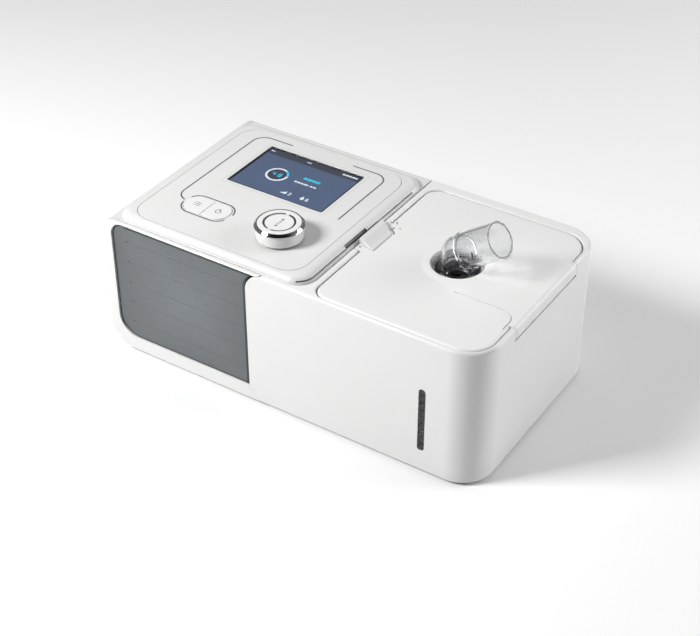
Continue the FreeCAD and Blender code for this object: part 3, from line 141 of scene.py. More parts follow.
def object_coordinates(material, stretch=(1.0, 1.0, 1.0)):
    """The piece's own coordinates in metres, stretched along its axes."""
    source = add_node(material, "ShaderNodeTexCoord")
    mapping = add_node(material, "ShaderNodeMapping")
    mapping.inputs["Scale"].default_value = stretch
    link(material, source.outputs["Object"], mapping.inputs["Vector"])
    return mapping.outputs["Vector"]


def position(material):
    """The same coordinates, one output for each axis."""
    place = add_node(material, "ShaderNodeSeparateXYZ")
    link(material, object_coordinates(material), place.inputs["Vector"])
    return place.outputs


def noise(material, per_metre, detail=3.0, stretch=(1.0, 1.0, 1.0)):
    """Noise with that many cells in a metre, fixed to the piece."""
    texture = add_node(material, "ShaderNodeTexNoise")
    texture.inputs["Scale"].default_value = per_metre
    texture.inputs["Detail"].default_value = detail
    link(material, object_coordinates(material, stretch), texture.inputs["Vector"])
    return texture.outputs["Fac"]


def remap(material, value, low, high, start=0.2, end=0.8):
    """value between start and end, spread from low to high."""
    node = add_node(material, "ShaderNodeMapRange")
    node.inputs["From Min"].default_value = start
    node.inputs["From Max"].default_value = end
    node.inputs["To Min"].default_value = low
    node.inputs["To Max"].default_value = high
    link(material, value, node.inputs["Value"])
    return node.outputs["Result"]


def mix_colours(material, factor, first, second):
    """From the first colour to the second as the factor goes from 0 to 1."""
    node = add_node(material, "ShaderNodeMix", data_type="RGBA")
    link(material, factor, node.inputs[0])
    for index, colour in ((6, first), (7, second)):
        if isinstance(colour, tuple):
            node.inputs[index].default_value = (*colour, 1.0)
        else:
            link(material, colour, node.inputs[index])
    return node.outputs[2]


def arithmetic(material, operation, first, second=None):
    """One step of arithmetic on numbers or outputs."""
    node = add_node(material, "ShaderNodeMath", operation=operation)
    for index, value in enumerate((first, second)):
        if value is None:
            continue
        if isinstance(value, (int, float)):
            node.inputs[index].default_value = value
        else:
            link(material, value, node.inputs[index])
    return node.outputs[0]


def scaled(colour, factor):
    """The colour made darker or lighter by a factor."""
    return tuple(channel * factor for channel in colour)


def shade(material, pattern, colour, share):
    """Base colour that runs along a pattern from that share of the colour up to all of it."""
    feed(material, mix_colours(material, pattern, scaled(colour, share), colour), "Base Color")


def bump(material, height, depth, rounding=0.0):
    """Height as relief of the given depth in metres, over edges rounded by that radius in metres."""
    node = add_node(material, "ShaderNodeBump")
    node.inputs["Strength"].default_value = 1.0
    node.inputs["Distance"].default_value = depth
    link(material, height, node.inputs["Height"])
    if rounding:
        edge = add_node(material, "ShaderNodeBevel", samples=4)
        edge.inputs["Radius"].default_value = rounding
        link(material, edge.outputs["Normal"], node.inputs["Normal"])
    feed(material, node.outputs["Normal"], "Normal")


def moulded(name, colour, roughness, spread=0.012, grain=1800.0, depth=0.004 * MM, rounding=0.0,
            **sockets):
    """Moulded plastic: a faint cloud in its colour, uneven gloss, and a fine spark-eroded grain."""
    material = new_material(name, colour, roughness, **sockets)
    cloud = noise(material, 35.0, detail=2.0)
    shade(material, remap(material, cloud, 0.0, 1.0), colour, 1 - spread)
    smear = noise(material, 60.0, detail=2.0)
    feed(material, remap(material, smear, roughness * 0.94, roughness * 1.06), "Roughness")
    bump(material, noise(material, grain, detail=2.0), depth, rounding)
    return material


def brushed(name, colour, roughness, along=(1.0, 12.0, 12.0)):
    """Metal with fine drawn lines along one axis."""
    material = new_material(name, colour, roughness, Metallic=1.0)
    lines = noise(material, 300.0, detail=5.0, stretch=along)
    shade(material, remap(material, lines, 0.0, 1.0), colour, 0.88)
    feed(material, remap(material, lines, roughness * 0.7, roughness * 1.3), "Roughness")
    bump(material, lines, 0.003 * MM)
    return material


def plated(name, colour):
    """Bright chrome plating with a barely uneven polish."""
    material = new_material(name, colour, 0.05, Metallic=1.0)
    haze = noise(material, 150.0, detail=4.0)
    shade(material, remap(material, haze, 0.0, 1.0), colour, 0.96)
    feed(material, remap(material, haze, 0.03, 0.09), "Roughness")
    bump(material, noise(material, 60.0), 0.002 * MM)
    return material


def clear(name, colour, roughness=0.02, ior=1.49, wave=0.004 * MM):
    """Clear moulded plastic with a slightly wavy skin."""
    material = new_material(name, colour, roughness, Transmission_Weight=1.0, IOR=ior)
    haze = noise(material, 70.0, detail=3.0)
    shade(material, remap(material, haze, 0.0, 1.0), colour, 0.97)
    feed(material, remap(material, haze, roughness * 0.6, roughness * 1.6), "Roughness")
    bump(material, noise(material, 45.0, detail=1.0), wave)
    return material


def clear_in_light(name, colour, passes, **looks):
    """Clear plastic that casts a light shadow: each wall lets that share of a lamp's light straight on."""
    material = clear(name, colour, **looks)
    tree = material.node_tree
    open_way = add_node(material, "ShaderNodeBsdfTransparent")
    open_way.inputs["Color"].default_value = (passes, passes, passes, 1.0)
    ray = add_node(material, "ShaderNodeLightPath")
    either = add_node(material, "ShaderNodeMixShader")
    link(material, ray.outputs["Is Shadow Ray"], either.inputs[0])
    link(material, principled(material).outputs[0], either.inputs[1])
    link(material, open_way.outputs[0], either.inputs[2])
    link(material, either.outputs[0], tree.nodes["Material Output"].inputs["Surface"])
    return material


def soft(name, colour, roughness, cell=900.0, depth=0.02 * MM):
    """Rubber and silicone: dull, with a fine skin."""
    return moulded(name, colour, roughness, spread=0.08, grain=cell, depth=depth)


def open_foam(name, colour, cell=700.0):
    """Open-cell foam: dark pores between bright cell walls."""
    material = new_material(name, colour, 0.95)
    cells = add_node(material, "ShaderNodeTexVoronoi")
    cells.inputs["Scale"].default_value = cell
    link(material, object_coordinates(material), cells.inputs["Vector"])
    pores = remap(material, cells.outputs["Distance"], 0.0, 1.0, 0.1, 0.7)
    shade(material, pores, colour, 0.35)
    bump(material, pores, 0.4 * MM)
    return material


def fibre_pad(name, colour):
    """Non-woven filter pad: short fibres lying every way."""
    material = new_material(name, colour, 0.9)
    one_way = noise(material, 900.0, detail=4.0, stretch=(1.0, 1.0, 7.0))
    other_way = noise(material, 900.0, detail=4.0, stretch=(7.0, 1.0, 1.0))
    fibres = arithmetic(material, "MAXIMUM", one_way, other_way)
    shade(material, remap(material, fibres, 0.0, 1.0), colour, 0.75)
    bump(material, fibres, 0.15 * MM)
    return material


def circuit_board(name, colour):
    """Solder resist over copper tracks, with tinned pads."""
    material = new_material(name, colour, 0.4)
    tracks = add_node(material, "ShaderNodeTexBrick")
    tracks.inputs["Scale"].default_value = 160.0
    tracks.inputs["Mortar Size"].default_value = 0.06
    tracks.inputs["Color1"].default_value = (*colour, 1.0)
    tracks.inputs["Color2"].default_value = (*scaled(colour, 0.75), 1.0)
    tracks.inputs["Mortar"].default_value = (*scaled(colour, 2.1), 1.0)
    link(material, object_coordinates(material), tracks.inputs["Vector"])
    pads = noise(material, 260.0, detail=0.0)
    tinned = remap(material, pads, 0.0, 1.0, 0.72, 0.75)
    tint = mix_colours(material, tinned, tracks.outputs["Color"], (0.65, 0.66, 0.64))
    feed(material, tint, "Base Color")
    feed(material, tinned, "Metallic")
    feed(material, remap(material, pads, 0.45, 0.32), "Roughness")
    bump(material, tracks.outputs["Fac"], 0.03 * MM)
    return material


def windings(name, colour):
    """Turns of enamelled wire, side by side."""
    material = new_material(name, colour, 0.3, Metallic=1.0)
    turns = add_node(material, "ShaderNodeTexWave", bands_direction="Z")
    turns.inputs["Scale"].default_value = 900.0
    link(material, object_coordinates(material), turns.inputs["Vector"])
    shade(material, turns.outputs["Fac"], colour, 0.35)
    feed(material, remap(material, noise(material, 200.0), 0.22, 0.4), "Roughness")
    bump(material, turns.outputs["Fac"], 0.1 * MM)
    return material


def dotted_panel(name, colour):
    """The grey front panel: satin, with rows of very small dimples coloured darker, and painted light:
    lighter in its middle, darker towards its edges.
    """
    material = new_material(name, colour, 0.42)
    low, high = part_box("front_panel")
    middle = (low + high) / 2
    place = position(material)
    pitch = 1.7 * MM
    waves = []
    for axis, shift in (("X", 0.0), ("Z", math.pi / 2)):
        angle = arithmetic(material, "MULTIPLY", place[axis], 2 * math.pi / pitch)
        waves.append(arithmetic(material, "COSINE", arithmetic(material, "ADD", angle, shift)))
    dots = remap(material, arithmetic(material, "ADD", *waves), 0.0, 1.0, 0.7, 1.4)
    across = arithmetic(material, "ABSOLUTE", arithmetic(material, "SUBTRACT", place["X"], middle.x))
    up = arithmetic(material, "ABSOLUTE", arithmetic(material, "SUBTRACT", place["Z"], middle.z))
    away = arithmetic(material, "MAXIMUM", across, up)
    # painted light: the panel's colour is raised in its middle and lowered towards its edges
    painted_light = mix_colours(material, remap(material, away, 0.0, 1.0, 0.0, 0.055), scaled(colour, 1.35),
                       scaled(colour, 0.88))
    tint = mix_colours(material, arithmetic(material, "MULTIPLY", dots, 0.16), painted_light, scaled(colour, 0.62))
    feed(material, tint, "Base Color")
    feed(material, remap(material, noise(material, 120.0), 0.38, 0.48), "Roughness")
    relief = arithmetic(material, "MULTIPLY", dots, -1.0)
    bump(material, relief, 0.06 * MM)
    return material


def socket_gloss_painted_shade(name, rim_colour, painted_shade_colour):
    """Glossy moulding of the outlet's socket, with painted shade: darker from its rim down to its floor,
    where its own walls shade it.
    """
    material = new_material(name, rim_colour, 0.15, Coat_Weight=0.5)
    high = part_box("outlet_socket")[1]
    place = position(material)
    painted_shade_fade = remap(material, place["Z"], 0.0, 1.0, high.z - 2.6 * MM, high.z - 0.4 * MM)
    tint = mix_colours(material, painted_shade_fade, painted_shade_colour, rim_colour)
    feed(material, tint, "Base Color")
    feed(material, remap(material, noise(material, 150.0), 0.10, 0.18), "Roughness")
    bump(material, noise(material, 90.0, detail=1.0), 0.01 * MM)
    return material


def lit_screen(name, colour, strength, sweep):
    """A lit display: its own light, brighter towards the front by the share sweep, over fine pixel rows."""
    material = new_material(name, scaled(colour, 0.2), 0.3)
    low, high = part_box("screen_lens")
    place = position(material)
    fade = remap(material, place["Y"], 1.0 - sweep, 1.0 + sweep, high.y, low.y)
    rows = arithmetic(material, "MULTIPLY", place["Y"], 2 * math.pi / (0.4 * MM))
    ripple = remap(material, arithmetic(material, "SINE", rows), 0.97, 1.0, -1.0, 1.0)
    level = arithmetic(material, "MULTIPLY", fade, ripple)
    light = mix_colours(material, level, (0.0, 0.0, 0.0), colour)
    feed(material, light, "Emission Color")
    principled(material).inputs["Emission Strength"].default_value = strength
    feed(material, remap(material, noise(material, 120.0), 0.26, 0.34), "Roughness")
    return material


def matt_mark(name, colour, roughness=0.5):
    """Matt finish for screen-printed marks and for the marks of painted shade, painted reflection and painted
    highlight, with a slightly uneven edge of colour.
    """
    return moulded(name, colour, roughness, spread=0.12, grain=2600.0, depth=0.002 * MM)


FINISHES = {
    "white_case": lambda: moulded("white_case", WHITE, 0.30, rounding=0.5 * MM),
    "fascia_white": lambda: moulded("fascia_white", FASCIA_WHITE, 0.42, grain=1300.0, depth=0.010 * MM,
                                    rounding=0.3 * MM),
    "key_white": lambda: moulded("key_white", scaled(FASCIA_WHITE, 1.08), 0.38, rounding=0.3 * MM),
    "knob_white": lambda: moulded("knob_white", scaled(WHITE, 1.03), 0.20, rounding=0.4 * MM,
                                  Coat_Weight=0.5),
    "chrome": lambda: plated("chrome", (0.52, 0.53, 0.55)),
    "grey_ring": lambda: brushed("grey_ring", (0.24, 0.27, 0.27), 0.22),
    "dark_line": lambda: moulded("dark_line", TRIM_GREY, 0.35),
    # painted shade: the deck band is near black so that the groove it lines reads as shaded
    "band_dark": lambda: moulded("band_dark", (0.045, 0.045, 0.042), 0.45),
    "panel_grey": lambda: dotted_panel("panel_grey", PANEL_GREY),
    "screen_glass": lambda: clear("screen_glass", (0.97, 0.98, 1.0), roughness=0.03, wave=0.001 * MM),
    "display": lambda: lit_screen("display", SCREEN_BLUE, 1.0, 0.10),
    "foam": lambda: open_foam("foam", (0.02, 0.02, 0.022)),
    "filter_pad": lambda: fibre_pad("filter_pad", (0.74, 0.75, 0.74)),
    "steel": lambda: brushed("steel", (0.56, 0.57, 0.58), 0.28),
    "black_plastic": lambda: moulded("black_plastic", (0.018, 0.018, 0.02), 0.45, spread=0.2,
                                     depth=0.02 * MM),
    "circuit_board": lambda: circuit_board("circuit_board", (0.012, 0.085, 0.035)),
    "blower_plastic": lambda: moulded("blower_plastic", (0.07, 0.08, 0.09), 0.5, spread=0.15,
                                      depth=0.02 * MM),
    "copper": lambda: windings("copper", (0.70, 0.32, 0.14)),
    "aluminium": lambda: brushed("aluminium", (0.77, 0.78, 0.79), 0.32, along=(10.0, 1.0, 10.0)),
    "silicone": lambda: soft("silicone", (0.38, 0.42, 0.44), 0.55),
    "window_clear": lambda: clear("window_clear", (0.16, 0.17, 0.18), roughness=0.06),
    # painted shade: the socket runs from grey at its rim to near black at its floor
    "dark_gloss": lambda: socket_gloss_painted_shade("dark_gloss", (0.40, 0.40, 0.40), (0.010, 0.010, 0.011)),
    "clear_elbow": lambda: clear_in_light("clear_elbow", (0.95, 0.96, 0.965), 0.70, roughness=0.015, ior=1.5),
    "clear_tank": lambda: clear("clear_tank", (0.88, 0.92, 0.94), roughness=0.04),
    "tank_steel": lambda: brushed("tank_steel", (0.60, 0.61, 0.62), 0.22, along=(1.0, 14.0, 14.0)),
    "rubber_foot": lambda: soft("rubber_foot", (0.045, 0.045, 0.048), 0.8),
}


# Painted shade: darker copies of the case white for the upper case, the lower case and the latch tab, so that
# they read as less lit than the rest.
PAINTED_SHADE_FINISHES = {
    "upper_case": lambda: moulded("upper_white_shaded", scaled(WHITE, 0.90), 0.30, rounding=0.5 * MM),
    "lower_case": lambda: moulded("lower_white_shaded", scaled(WHITE, 0.80), 0.34, rounding=0.5 * MM),
    "latch_tab": lambda: moulded("latch_white_shaded", scaled(WHITE, 0.86), 0.30, rounding=0.5 * MM),
}


def finish_cad_nodes():
    """Gives every CAD node its slot's finish, or for three nodes a darker painted-shade copy of the white,
    and smooth shading over its curved faces.
    """
    made = {}
    for part in frame["record"]["subparts"]:
        node = part["node"]
        slot = part["material_slot"]
        key = node if node in PAINTED_SHADE_FINISHES else slot
        if key not in made:
            made[key] = PAINTED_SHADE_FINISHES[key]() if key in PAINTED_SHADE_FINISHES else FINISHES[slot]()
        piece = NODES[node]
        piece.data.materials.clear()
        piece.data.materials.append(made[key])
        smooth(piece)


def smooth(piece):
    """Smooth shading over the curves, with the real edges kept sharp."""
    piece.data.polygons.foreach_set("use_smooth", [True] * len(piece.data.polygons))
    weld = piece.modifiers.new("weld", "WELD")
    weld.merge_threshold = WELD_GAP
    split = piece.modifiers.new("split", "EDGE_SPLIT")
    split.split_angle = SHARP
    even = piece.modifiers.new("even", "WEIGHTED_NORMAL")
    even.mode = "FACE_AREA_WITH_ANGLE"
    even.weight = 80


# ---------------------------------------------------------------- printed and inlaid marks, and marks of painted light and shade

def on_top(z):
    """Puts a mark on a level face: (across, away) to a point, with height upwards."""
    return lambda a, b, height: Vector((a, b, z + height))


def on_surface(node):
    """Puts a mark on the upper face of a node, whatever its slope."""
    return lambda a, b, height: Vector((a, b, surface_height(node, a, b) + height))


def on_front(y):
    """Puts a mark on a face that looks to the front."""
    return lambda a, b, height: Vector((a, y - height, b))


def marks(name, shapes, place, body, material, thick=MARK):
    """Thin raised shapes in one piece; each shape is a closed list of corners."""
    mesh = bpy.data.meshes.new(name)
    edit = bmesh.new()
    for shape in shapes:
        low = [edit.verts.new(place(a, b, 0.0)) for a, b in shape]
        high = [edit.verts.new(place(a, b, thick)) for a, b in shape]
        edit.faces.new(high)
        for i in range(len(shape)):
            j = (i + 1) % len(shape)
            edit.faces.new((low[i], low[j], high[j], high[i]))
    bmesh.ops.recalc_face_normals(edit, faces=edit.faces)
    edit.to_mesh(mesh)
    edit.free()
    piece = bpy.data.objects.new(name, mesh)
    bpy.context.scene.collection.objects.link(piece)
    mesh.materials.append(material)
    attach(piece, body)


def bar(a, b, width, height):
    """Rectangle about its middle."""
    w, h = width / 2, height / 2
    return [(a - w, b - h), (a + w, b - h), (a + w, b + h), (a - w, b + h)]


def stroke(start, end, width):
    """Straight line of the given width."""
    run = Vector((end[0] - start[0], end[1] - start[1])).normalized() * (width / 2)
    return [(start[0] - run.y, start[1] + run.x), (start[0] + run.y, start[1] - run.x),
            (end[0] + run.y, end[1] - run.x), (end[0] - run.y, end[1] + run.x)]


def disc(a, b, r, steps=20):
    """Full disc about (a, b)."""
    turn = [2 * math.pi * i / steps for i in range(steps)]
    return [(a + r * math.cos(t), b + r * math.sin(t)) for t in turn]


def arc(a, b, r, width, start, end, steps=28):
    """Part of a ring, between two angles in degrees."""
    turn = [math.radians(start + (end - start) * i / steps) for i in range(steps + 1)]
    outer = [(a + (r + width / 2) * math.cos(t), b + (r + width / 2) * math.sin(t)) for t in turn]
    inner = [(a + (r - width / 2) * math.cos(t), b + (r - width / 2) * math.sin(t)) for t in reversed(turn)]
    return outer + inner


def ring(a, b, r, width):
    """Whole ring, in two halves so that each is one outline."""
    return [arc(a, b, r, width, 0, 180), arc(a, b, r, width, 180, 360)]


def drop(a, b, r):
    """Water drop with its point away from the front."""
    round_part = [math.radians(150 + 240 * i / 16) for i in range(17)]
    return [(a + r * math.cos(t), b + r * math.sin(t)) for t in round_part] + [(a, b + 2.1 * r)]


SEGMENTS = {"a": ((0, 2), (1, 2)), "b": ((1, 1), (1, 2)), "c": ((1, 0), (1, 1)), "d": ((0, 0), (1, 0)),
            "e": ((0, 0), (0, 1)), "f": ((0, 1), (0, 2)), "g": ((0, 1), (1, 1))}
DIGITS = {"3": "abcdg", "4": "bcfg", "6": "acdefg", "8": "abcdefg"}


def digit(value, a, b, height, width):
    """One seven-segment figure with its lower left corner at (a, b)."""
    half = height / 2
    shapes = []
    for segment in DIGITS[value]:
        (x0, y0), (x1, y1) = SEGMENTS[segment]
        shapes.append(stroke((a + x0 * half, b + y0 * half), (a + x1 * half, b + y1 * half), width))
    return shapes


def dashes(a, b, lengths, height, gap):
    """A row of short bars that stands for a line of small print; a negative length is left blank."""
    shapes = []
    for length in lengths:
        if length > 0:
            shapes.append(bar(a + length / 2, b, length, height))
        a += abs(length) + gap
    return shapes


def screen_marks():
    """What the display shows: a status bar, a dial, two lines of print and two readings."""
    low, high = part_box("screen_lens")
    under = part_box("display_module")[1].z + 0.05 * MM
    wide = high.x - low.x
    deep = high.y - low.y
    place = on_top(under)
    lift = on_top(under + 0.05 * MM)
    dark = lit_screen("screen_dark", STATUS_BLUE, 1.0, 0.02)
    white = lit_screen("screen_white", SCREEN_WHITE, 1.0, 0.02)
    cyan = lit_screen("screen_cyan", CYAN, 1.0, 0.02)

    def at(u, v):
        """Point of the screen, as shares of its width and depth."""
        return low.x + u * wide, low.y + v * deep

    def print_line(start, lengths, height, gap):
        return dashes(*start, [length * MM for length in lengths], height * MM, gap * MM)

    status = 0.93
    marks("screen_status", [bar(*at(0.5, status), wide, 0.14 * deep)], place, "base", dark)
    dial = at(0.313, 0.469)
    dial_r = 6.8 * MM
    dial_width = 1.5 * MM
    marks("screen_dial_face", [disc(*dial, 6.2 * MM, 40)], place, "base", dark)
    dial_arcs = [arc(*dial, dial_r, dial_width, 62, 250), arc(*dial, dial_r, dial_width, 250, 370)]
    marks("screen_dial", dial_arcs, place, "base", white)

    figure = 3.4 * MM
    cyan_shapes = [arc(*dial, dial_r, dial_width, 14, 58)]
    cyan_shapes += digit("4", dial[0] - 3.1 * MM, dial[1] - figure / 2, figure, 0.7 * MM)
    cyan_shapes += digit("8", dial[0] + 1.2 * MM, dial[1] - figure / 2, figure, 0.7 * MM)
    cyan_shapes += print_line(at(0.55, 0.578), (2.6, 3.2, 2.0, 3.0), 2.3, 0.35)
    marks("screen_cyan_marks", cyan_shapes, lift, "base", cyan)

    small = 2.6 * MM
    words = (1.9, 2.2, 1.6, 2.4, 0.6, -0.5, 1.4, 0.5, 1.6)
    white_shapes = print_line(at(0.505, 0.455), words, 1.5, 0.4)
    x, y = at(0.50, 0.135)
    white_shapes.append([(x, y), (x + 4.2 * MM, y), (x + 4.2 * MM, y + 3.0 * MM)])
    white_shapes += digit("3", x + 5.8 * MM, y, small, 0.5 * MM)
    x, y = at(0.725, 0.155)
    white_shapes.append(drop(x, y, 1.3 * MM))
    white_shapes += digit("6", x + 2.9 * MM, y - 1.0 * MM, small, 0.5 * MM)
    white_shapes += print_line(at(0.80, status), (2.2, 1.4, 2.4, 2.0, 1.4), 1.5, 0.35)
    white_shapes += print_line(at(0.03, status), (1.2, 1.0), 1.0, 0.4)
    white_shapes += print_line(at(0.42, status), (1.0, 1.8), 0.9, 0.4)
    marks("screen_white_marks", white_shapes, lift, "base", white)


def screen_frame():
    """Faint line round the screen, where the fascia's print ends."""
    low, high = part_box("screen_lens")
    gap = 2.2 * MM
    x0, x1 = low.x - gap, high.x + gap
    y0, y1 = low.y - gap, high.y + gap
    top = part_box("fascia")[1].z
    line = 0.16 * MM
    shapes = [bar((x0 + x1) / 2, y0, x1 - x0, line), bar((x0 + x1) / 2, y1, x1 - x0, line),
              bar(x0, (y0 + y1) / 2, line, y1 - y0), bar(x1, (y0 + y1) / 2, line, y1 - y0)]
    marks("screen_frame", shapes, on_top(top), "base", matt_mark("frame_ink", FRAME_INK), 0.01 * MM)


def rim_strip(name, node, width, material, body):
    """Thin strip just inside the outline of a node's front face."""
    mesh = NODES[node].data
    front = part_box(node)[0].y
    edit = bmesh.new()
    edit.from_mesh(mesh)
    bmesh.ops.remove_doubles(edit, verts=edit.verts, dist=0.001 * MM)
    back = [face for face in edit.faces if any(vert.co.y > front + 0.01 * MM for vert in face.verts)]
    bmesh.ops.delete(edit, geom=back, context="FACES")
    inward = {}
    border = [edge for edge in edit.edges if edge.is_boundary]
    for edge in border:
        face = edge.link_faces[0]
        along = (edge.verts[1].co - edge.verts[0].co).normalized()
        across = Vector((0, 1, 0)).cross(along)
        if across.dot(face.calc_center_median() - edge.verts[0].co) < 0:
            across.negate()
        for vert in edge.verts:
            inward.setdefault(vert, []).append(across)
    edge_pairs = []
    for edge in border:
        pair = []
        for vert in edge.verts:
            turn = sum(inward[vert], Vector()).normalized()
            reach = width / max(0.5, turn.dot(inward[vert][0]))
            pair.append(((vert.co.x, vert.co.z), (vert.co.x + turn.x * reach, vert.co.z + turn.z * reach)))
        (a, a_in), (b, b_in) = pair
        edge_pairs.append([a, b, b_in, a_in])
    edit.free()
    marks(name, edge_pairs, on_front(front), body, material)


def panel_marks():
    """Painted shade as a dark edge round the recessed grey panel, and five rows of small dimples that each
    start at a dot.
    """
    low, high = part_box("front_panel")
    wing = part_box("humidifier_case")
    place = on_front(low.y)
    tall = high.z - low.z
    start = low.x + 10.5 * MM
    end = wing[0].x - 3.0 * MM
    pitch = 0.8 * MM
    faint = matt_mark("panel_ink", scaled(PANEL_GREY, 0.80))
    dark = matt_mark("panel_dot", scaled(PANEL_GREY, 0.42))
    rows = []
    dots = []
    for share in PANEL_ROWS:
        z = low.z + share * tall
        dots.append(disc(start, z, 0.65 * MM, 16))
        x = start + 1.5 * MM
        while x < end:
            rows.append(disc(x, z, 0.26 * MM, 8))
            x += pitch
    marks("panel_rows", rows, place, "base", faint)
    marks("panel_dots", dots, place, "base", dark)
    # painted shade: a dark strip round the recessed panel, and painted shadow under the bezel's top and
    # beside the wing
    painted_edge_shade = matt_mark("panel_edge", PANEL_EDGE_SHADE)
    rim_strip("panel_edge", "front_panel", 0.9 * MM, painted_edge_shade, "base")
    shaded_edges(low, high, painted_edge_shade)


def shaded_edges(low, high, material):
    """Painted shadow on the panel's edge where the bezel's top and the humidifier's wing stand forward of it
    and shade it.
    """
    place = on_front(low.y)
    wing = NODES["humidifier_case"]
    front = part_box("humidifier_case")[0].y
    width = 2.6 * MM
    steps = 40
    points = []
    for step in range(steps + 1):
        z = low.z + (high.z - low.z) * step / steps
        hit, point, _, _ = wing.ray_cast(Vector((low.x, front + 0.6 * MM, z)), Vector((1, 0, 0)))
        if hit:
            points.append((point.x, z))
    strips = []
    for (x0, z0), (x1, z1) in zip(points, points[1:]):
        if x1 < high.x:
            strips.append([(x0 - width, z0), (x0, z0), (x1, z1), (x1 - width, z1)])
    marks("panel_shadow_right", strips, place, "base", material)
    top = 2.3 * MM
    start = low.x + 9.0 * MM
    end = points[-1][0] if points else high.x
    strip = bar((start + end) / 2, high.z - top / 2, end - start, top)
    marks("panel_shadow_top", [strip], place, "base", material)


def key_marks():
    """A list symbol on the left key and a standby ring on the right key."""
    grey = matt_mark("key_ink", INK)
    low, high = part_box("left_key")
    x, y = (low.x + high.x) / 2, (low.y + high.y) / 2
    shapes = []
    for row in (-1.5, 0.0, 1.5):
        shapes.append(bar(x - 2.0 * MM, y + row * MM, 0.6 * MM, 0.6 * MM))
        shapes.append(bar(x + 0.6 * MM, y + row * MM, 3.2 * MM, 0.5 * MM))
    marks("left_key_mark", shapes, on_top(high.z), "left_key", grey)
    low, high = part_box("right_key")
    x, y = (low.x + high.x) / 2, (low.y + high.y) / 2
    shapes = ring(x, y - 0.3 * MM, 1.7 * MM, 0.5 * MM)
    shapes.append(stroke((x, y + 0.6 * MM), (x, y + 2.6 * MM), 0.5 * MM))
    marks("right_key_mark", shapes, on_top(high.z), "right_key", grey)


def tube_lip():
    """The polished end of the elbow's tube, with a painted dark reflection all the way round its lip."""
    outlet = next(mount for mount in frame["record"]["mounts"] if mount["name"] == "breathing_outlet")
    along = Vector(outlet["axis"]).normalized()
    radius = outlet["dims"]["r_mm"] * MM
    end = Vector(outlet["pos_m"]) + along * outlet["dims"]["length_mm"] * MM / 2
    across = Vector((0, 1, 0))
    up = along.cross(across)

    def place(a, b, height):
        return end + across * a + up * b + along * height

    # painted reflection: a dark ring standing for how the clear lip refracts dark surroundings
    middle = radius - 0.75 * MM
    shapes = [arc(0, 0, middle, 0.9 * MM, start, start + 90, 18) for start in (0, 90, 180, 270)]
    marks("tube_lip", shapes, place, "elbow", matt_mark("lip_painted_reflection", LIP_DARK_REFLECTION, 0.25), 0.02 * MM)


def knob_marks():
    """A row of small turn-and-push marks in the middle of the knob, and two painted highlights across its
    grey ring.
    """
    low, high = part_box("knob_cap")
    x, y = (low.x + high.x) / 2, (low.y + high.y) / 2
    reach = 3.7 * MM
    shapes = [stroke((x - 0.5 * MM, y - 1.3 * MM), (x + 0.5 * MM, y + 1.3 * MM), 0.6 * MM)]
    for way in (-1, 1):
        shapes.append(disc(x, y + way * reach, 0.9 * MM, 16))
        shapes.append(arc(x, y, 2.0 * MM, 0.35 * MM, 90 * way - 25, 90 * way + 25, 8))
    grey = matt_mark("knob_ink", KNOB_INK)
    marks("knob_symbol", shapes, on_surface("knob_cap"), "knob", grey, 0.05 * MM)
    ring_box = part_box("knob_inner_ring")
    outer = (ring_box[1].x - ring_box[0].x) / 2
    # painted highlight: two light arcs where the grey ring would catch the light
    white = matt_mark("ring_glint", FASCIA_WHITE)
    half = 7
    glint_arcs = [arc(x, y, outer - 0.6 * MM, 1.2 * MM, at - half, at + half, 8) for at in RING_GLINTS]
    marks("ring_glints", glint_arcs, on_surface("knob_inner_ring"), "knob", white, 0.05 * MM)


def window_marks():
    """A row of level bars up the window."""
    low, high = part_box("level_window")
    place = on_front(low.y)
    x = (low.x + high.x) / 2
    tall = high.z - low.z
    dark = matt_mark("window_bars", WINDOW_INK, 0.25)
    shapes = []
    last = 8
    for row in range(last + 1):
        z = low.z + (0.09 + 0.82 * row / last) * tall
        shapes.append(bar(x, z, (high.x - low.x) * 0.62, tall * 0.055))
    marks("window_scale", shapes, place, "base", dark)


def lid_marks():
    """Small unlock symbol on the lid behind the latch, and a dot in front of it."""
    low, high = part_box("latch_tab")

    def at(across, away):
        return high.x + (across - 2.6) * MM, high.y + (away - 2.8) * MM

    line = 0.7 * MM
    shapes = [stroke(at(-0.9, -0.5), at(0.3, 2.6), line),
              stroke(at(-0.1, 0.0), at(3.6, -3.4), line),
              stroke(at(-2.0, 8.4), at(-0.5, 6.7), 0.6 * MM),
              disc(*at(3.3, 3.4), 0.5 * MM, 12)]
    grey = matt_mark("lid_ink", scaled(INK, 0.4))
    marks("lid_arrows", shapes, on_surface("lid"), "lid", grey)
    dot = disc(low.x + 2.5 * MM, low.y - 0.1 * MM, 0.6 * MM, 14)
    marks("latch_dot", [dot], on_surface("lid"), "lid", grey)


def surface_height(node, x, y):
    """Height of the node's top face at (x, y)."""
    piece = NODES[node]
    hit, point, _, _ = piece.ray_cast(Vector((x, y, 1.0)), Vector((0, 0, -1)))
    return point.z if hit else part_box(node)[1].z


# ---------------------------------------------------------------- stage

def lay_floor():
    """Plain white floor under the object."""
    mesh = bpy.data.meshes.new("floor")
    reach = FLOOR_REACH
    corners = [(-reach, -reach, 0), (reach, -reach, 0), (reach, reach, 0), (-reach, reach, 0)]
    mesh.from_pydata(corners, [], [(0, 1, 2, 3)])
    floor = bpy.data.objects.new("floor", mesh)
    bpy.context.scene.collection.objects.link(floor)
    material = moulded("floor_white", FLOOR_WHITE, 0.35, spread=0.005, depth=0.0, Specular_IOR_Level=0.35)
    mesh.materials.append(material)


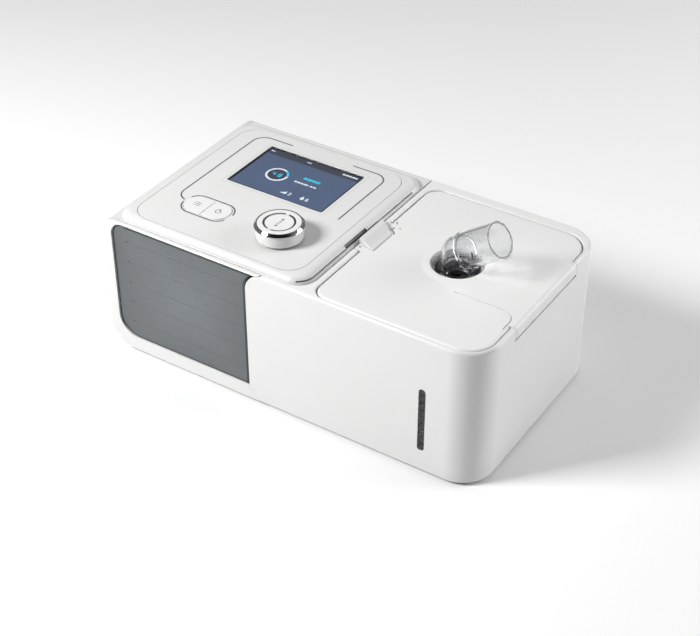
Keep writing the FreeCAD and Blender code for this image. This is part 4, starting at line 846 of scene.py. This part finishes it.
def area_light(name, at, towards, size, power):
    """Rectangular lamp of the given size that faces a point."""
    light = bpy.data.lights.new(name, "AREA")
    light.shape = "RECTANGLE"
    light.size, light.size_y = size
    light.energy = power
    lamp = bpy.data.objects.new(name, light)
    lamp.location = at
    lamp.rotation_mode = "QUATERNION"
    lamp.rotation_quaternion = (Vector(towards) - Vector(at)).to_track_quat("-Z", "Y")
    bpy.context.scene.collection.objects.link(lamp)


def light_world():
    """White all round, falling off to a dark side where the studio is open."""
    world = bpy.data.worlds.new("studio")
    world.use_nodes = True
    bpy.context.scene.world = world
    tree = world.node_tree
    background = tree.nodes["Background"]
    background.inputs["Strength"].default_value = STUDIO_STRENGTH
    source = tree.nodes.new("ShaderNodeTexCoord")
    toward = tree.nodes.new("ShaderNodeVectorMath")
    toward.operation = "DOT_PRODUCT"
    toward.inputs[1].default_value = Vector(DARK_SIDE).normalized()
    tree.links.new(source.outputs["Generated"], toward.inputs[0])
    fall = tree.nodes.new("ShaderNodeMapRange")
    fall.interpolation_type = "SMOOTHSTEP"
    fall.inputs["From Min"].default_value = DARK_START
    fall.inputs["From Max"].default_value = DARK_FULL
    fall.inputs["To Min"].default_value = 1.0
    fall.inputs["To Max"].default_value = DARK_LEVEL
    tree.links.new(toward.outputs["Value"], fall.inputs["Value"])
    tree.links.new(fall.outputs["Result"], background.inputs["Color"])


def light_object():
    """Every lamp points at the middle of the object."""
    centre = (CAD_BOX[0] + CAD_BOX[1]) / 2
    for name, (at, size, power) in LAMPS.items():
        area_light(name, at, centre, size, power)


def set_camera():
    """Camera at the height and side from which the object is shown."""
    data = bpy.data.cameras.new("camera")
    data.lens = LENS
    data.sensor_width = SENSOR
    data.sensor_fit = "HORIZONTAL"
    data.clip_start = 0.05
    data.clip_end = 50.0
    camera = bpy.data.objects.new("camera", data)
    camera.location = CAMERA_AT
    camera.rotation_mode = "QUATERNION"
    camera.rotation_quaternion = Vector(CAMERA_LOOK).to_track_quat("-Z", "Y")
    bpy.context.scene.collection.objects.link(camera)
    bpy.context.scene.camera = camera


set_camera()
bpy.context.scene.view_settings.view_transform = "Standard"
finish_cad_nodes()
screen_marks()
screen_frame()
panel_marks()
key_marks()
knob_marks()
tube_lip()
window_marks()
lid_marks()
lay_floor()
light_world()
light_object()
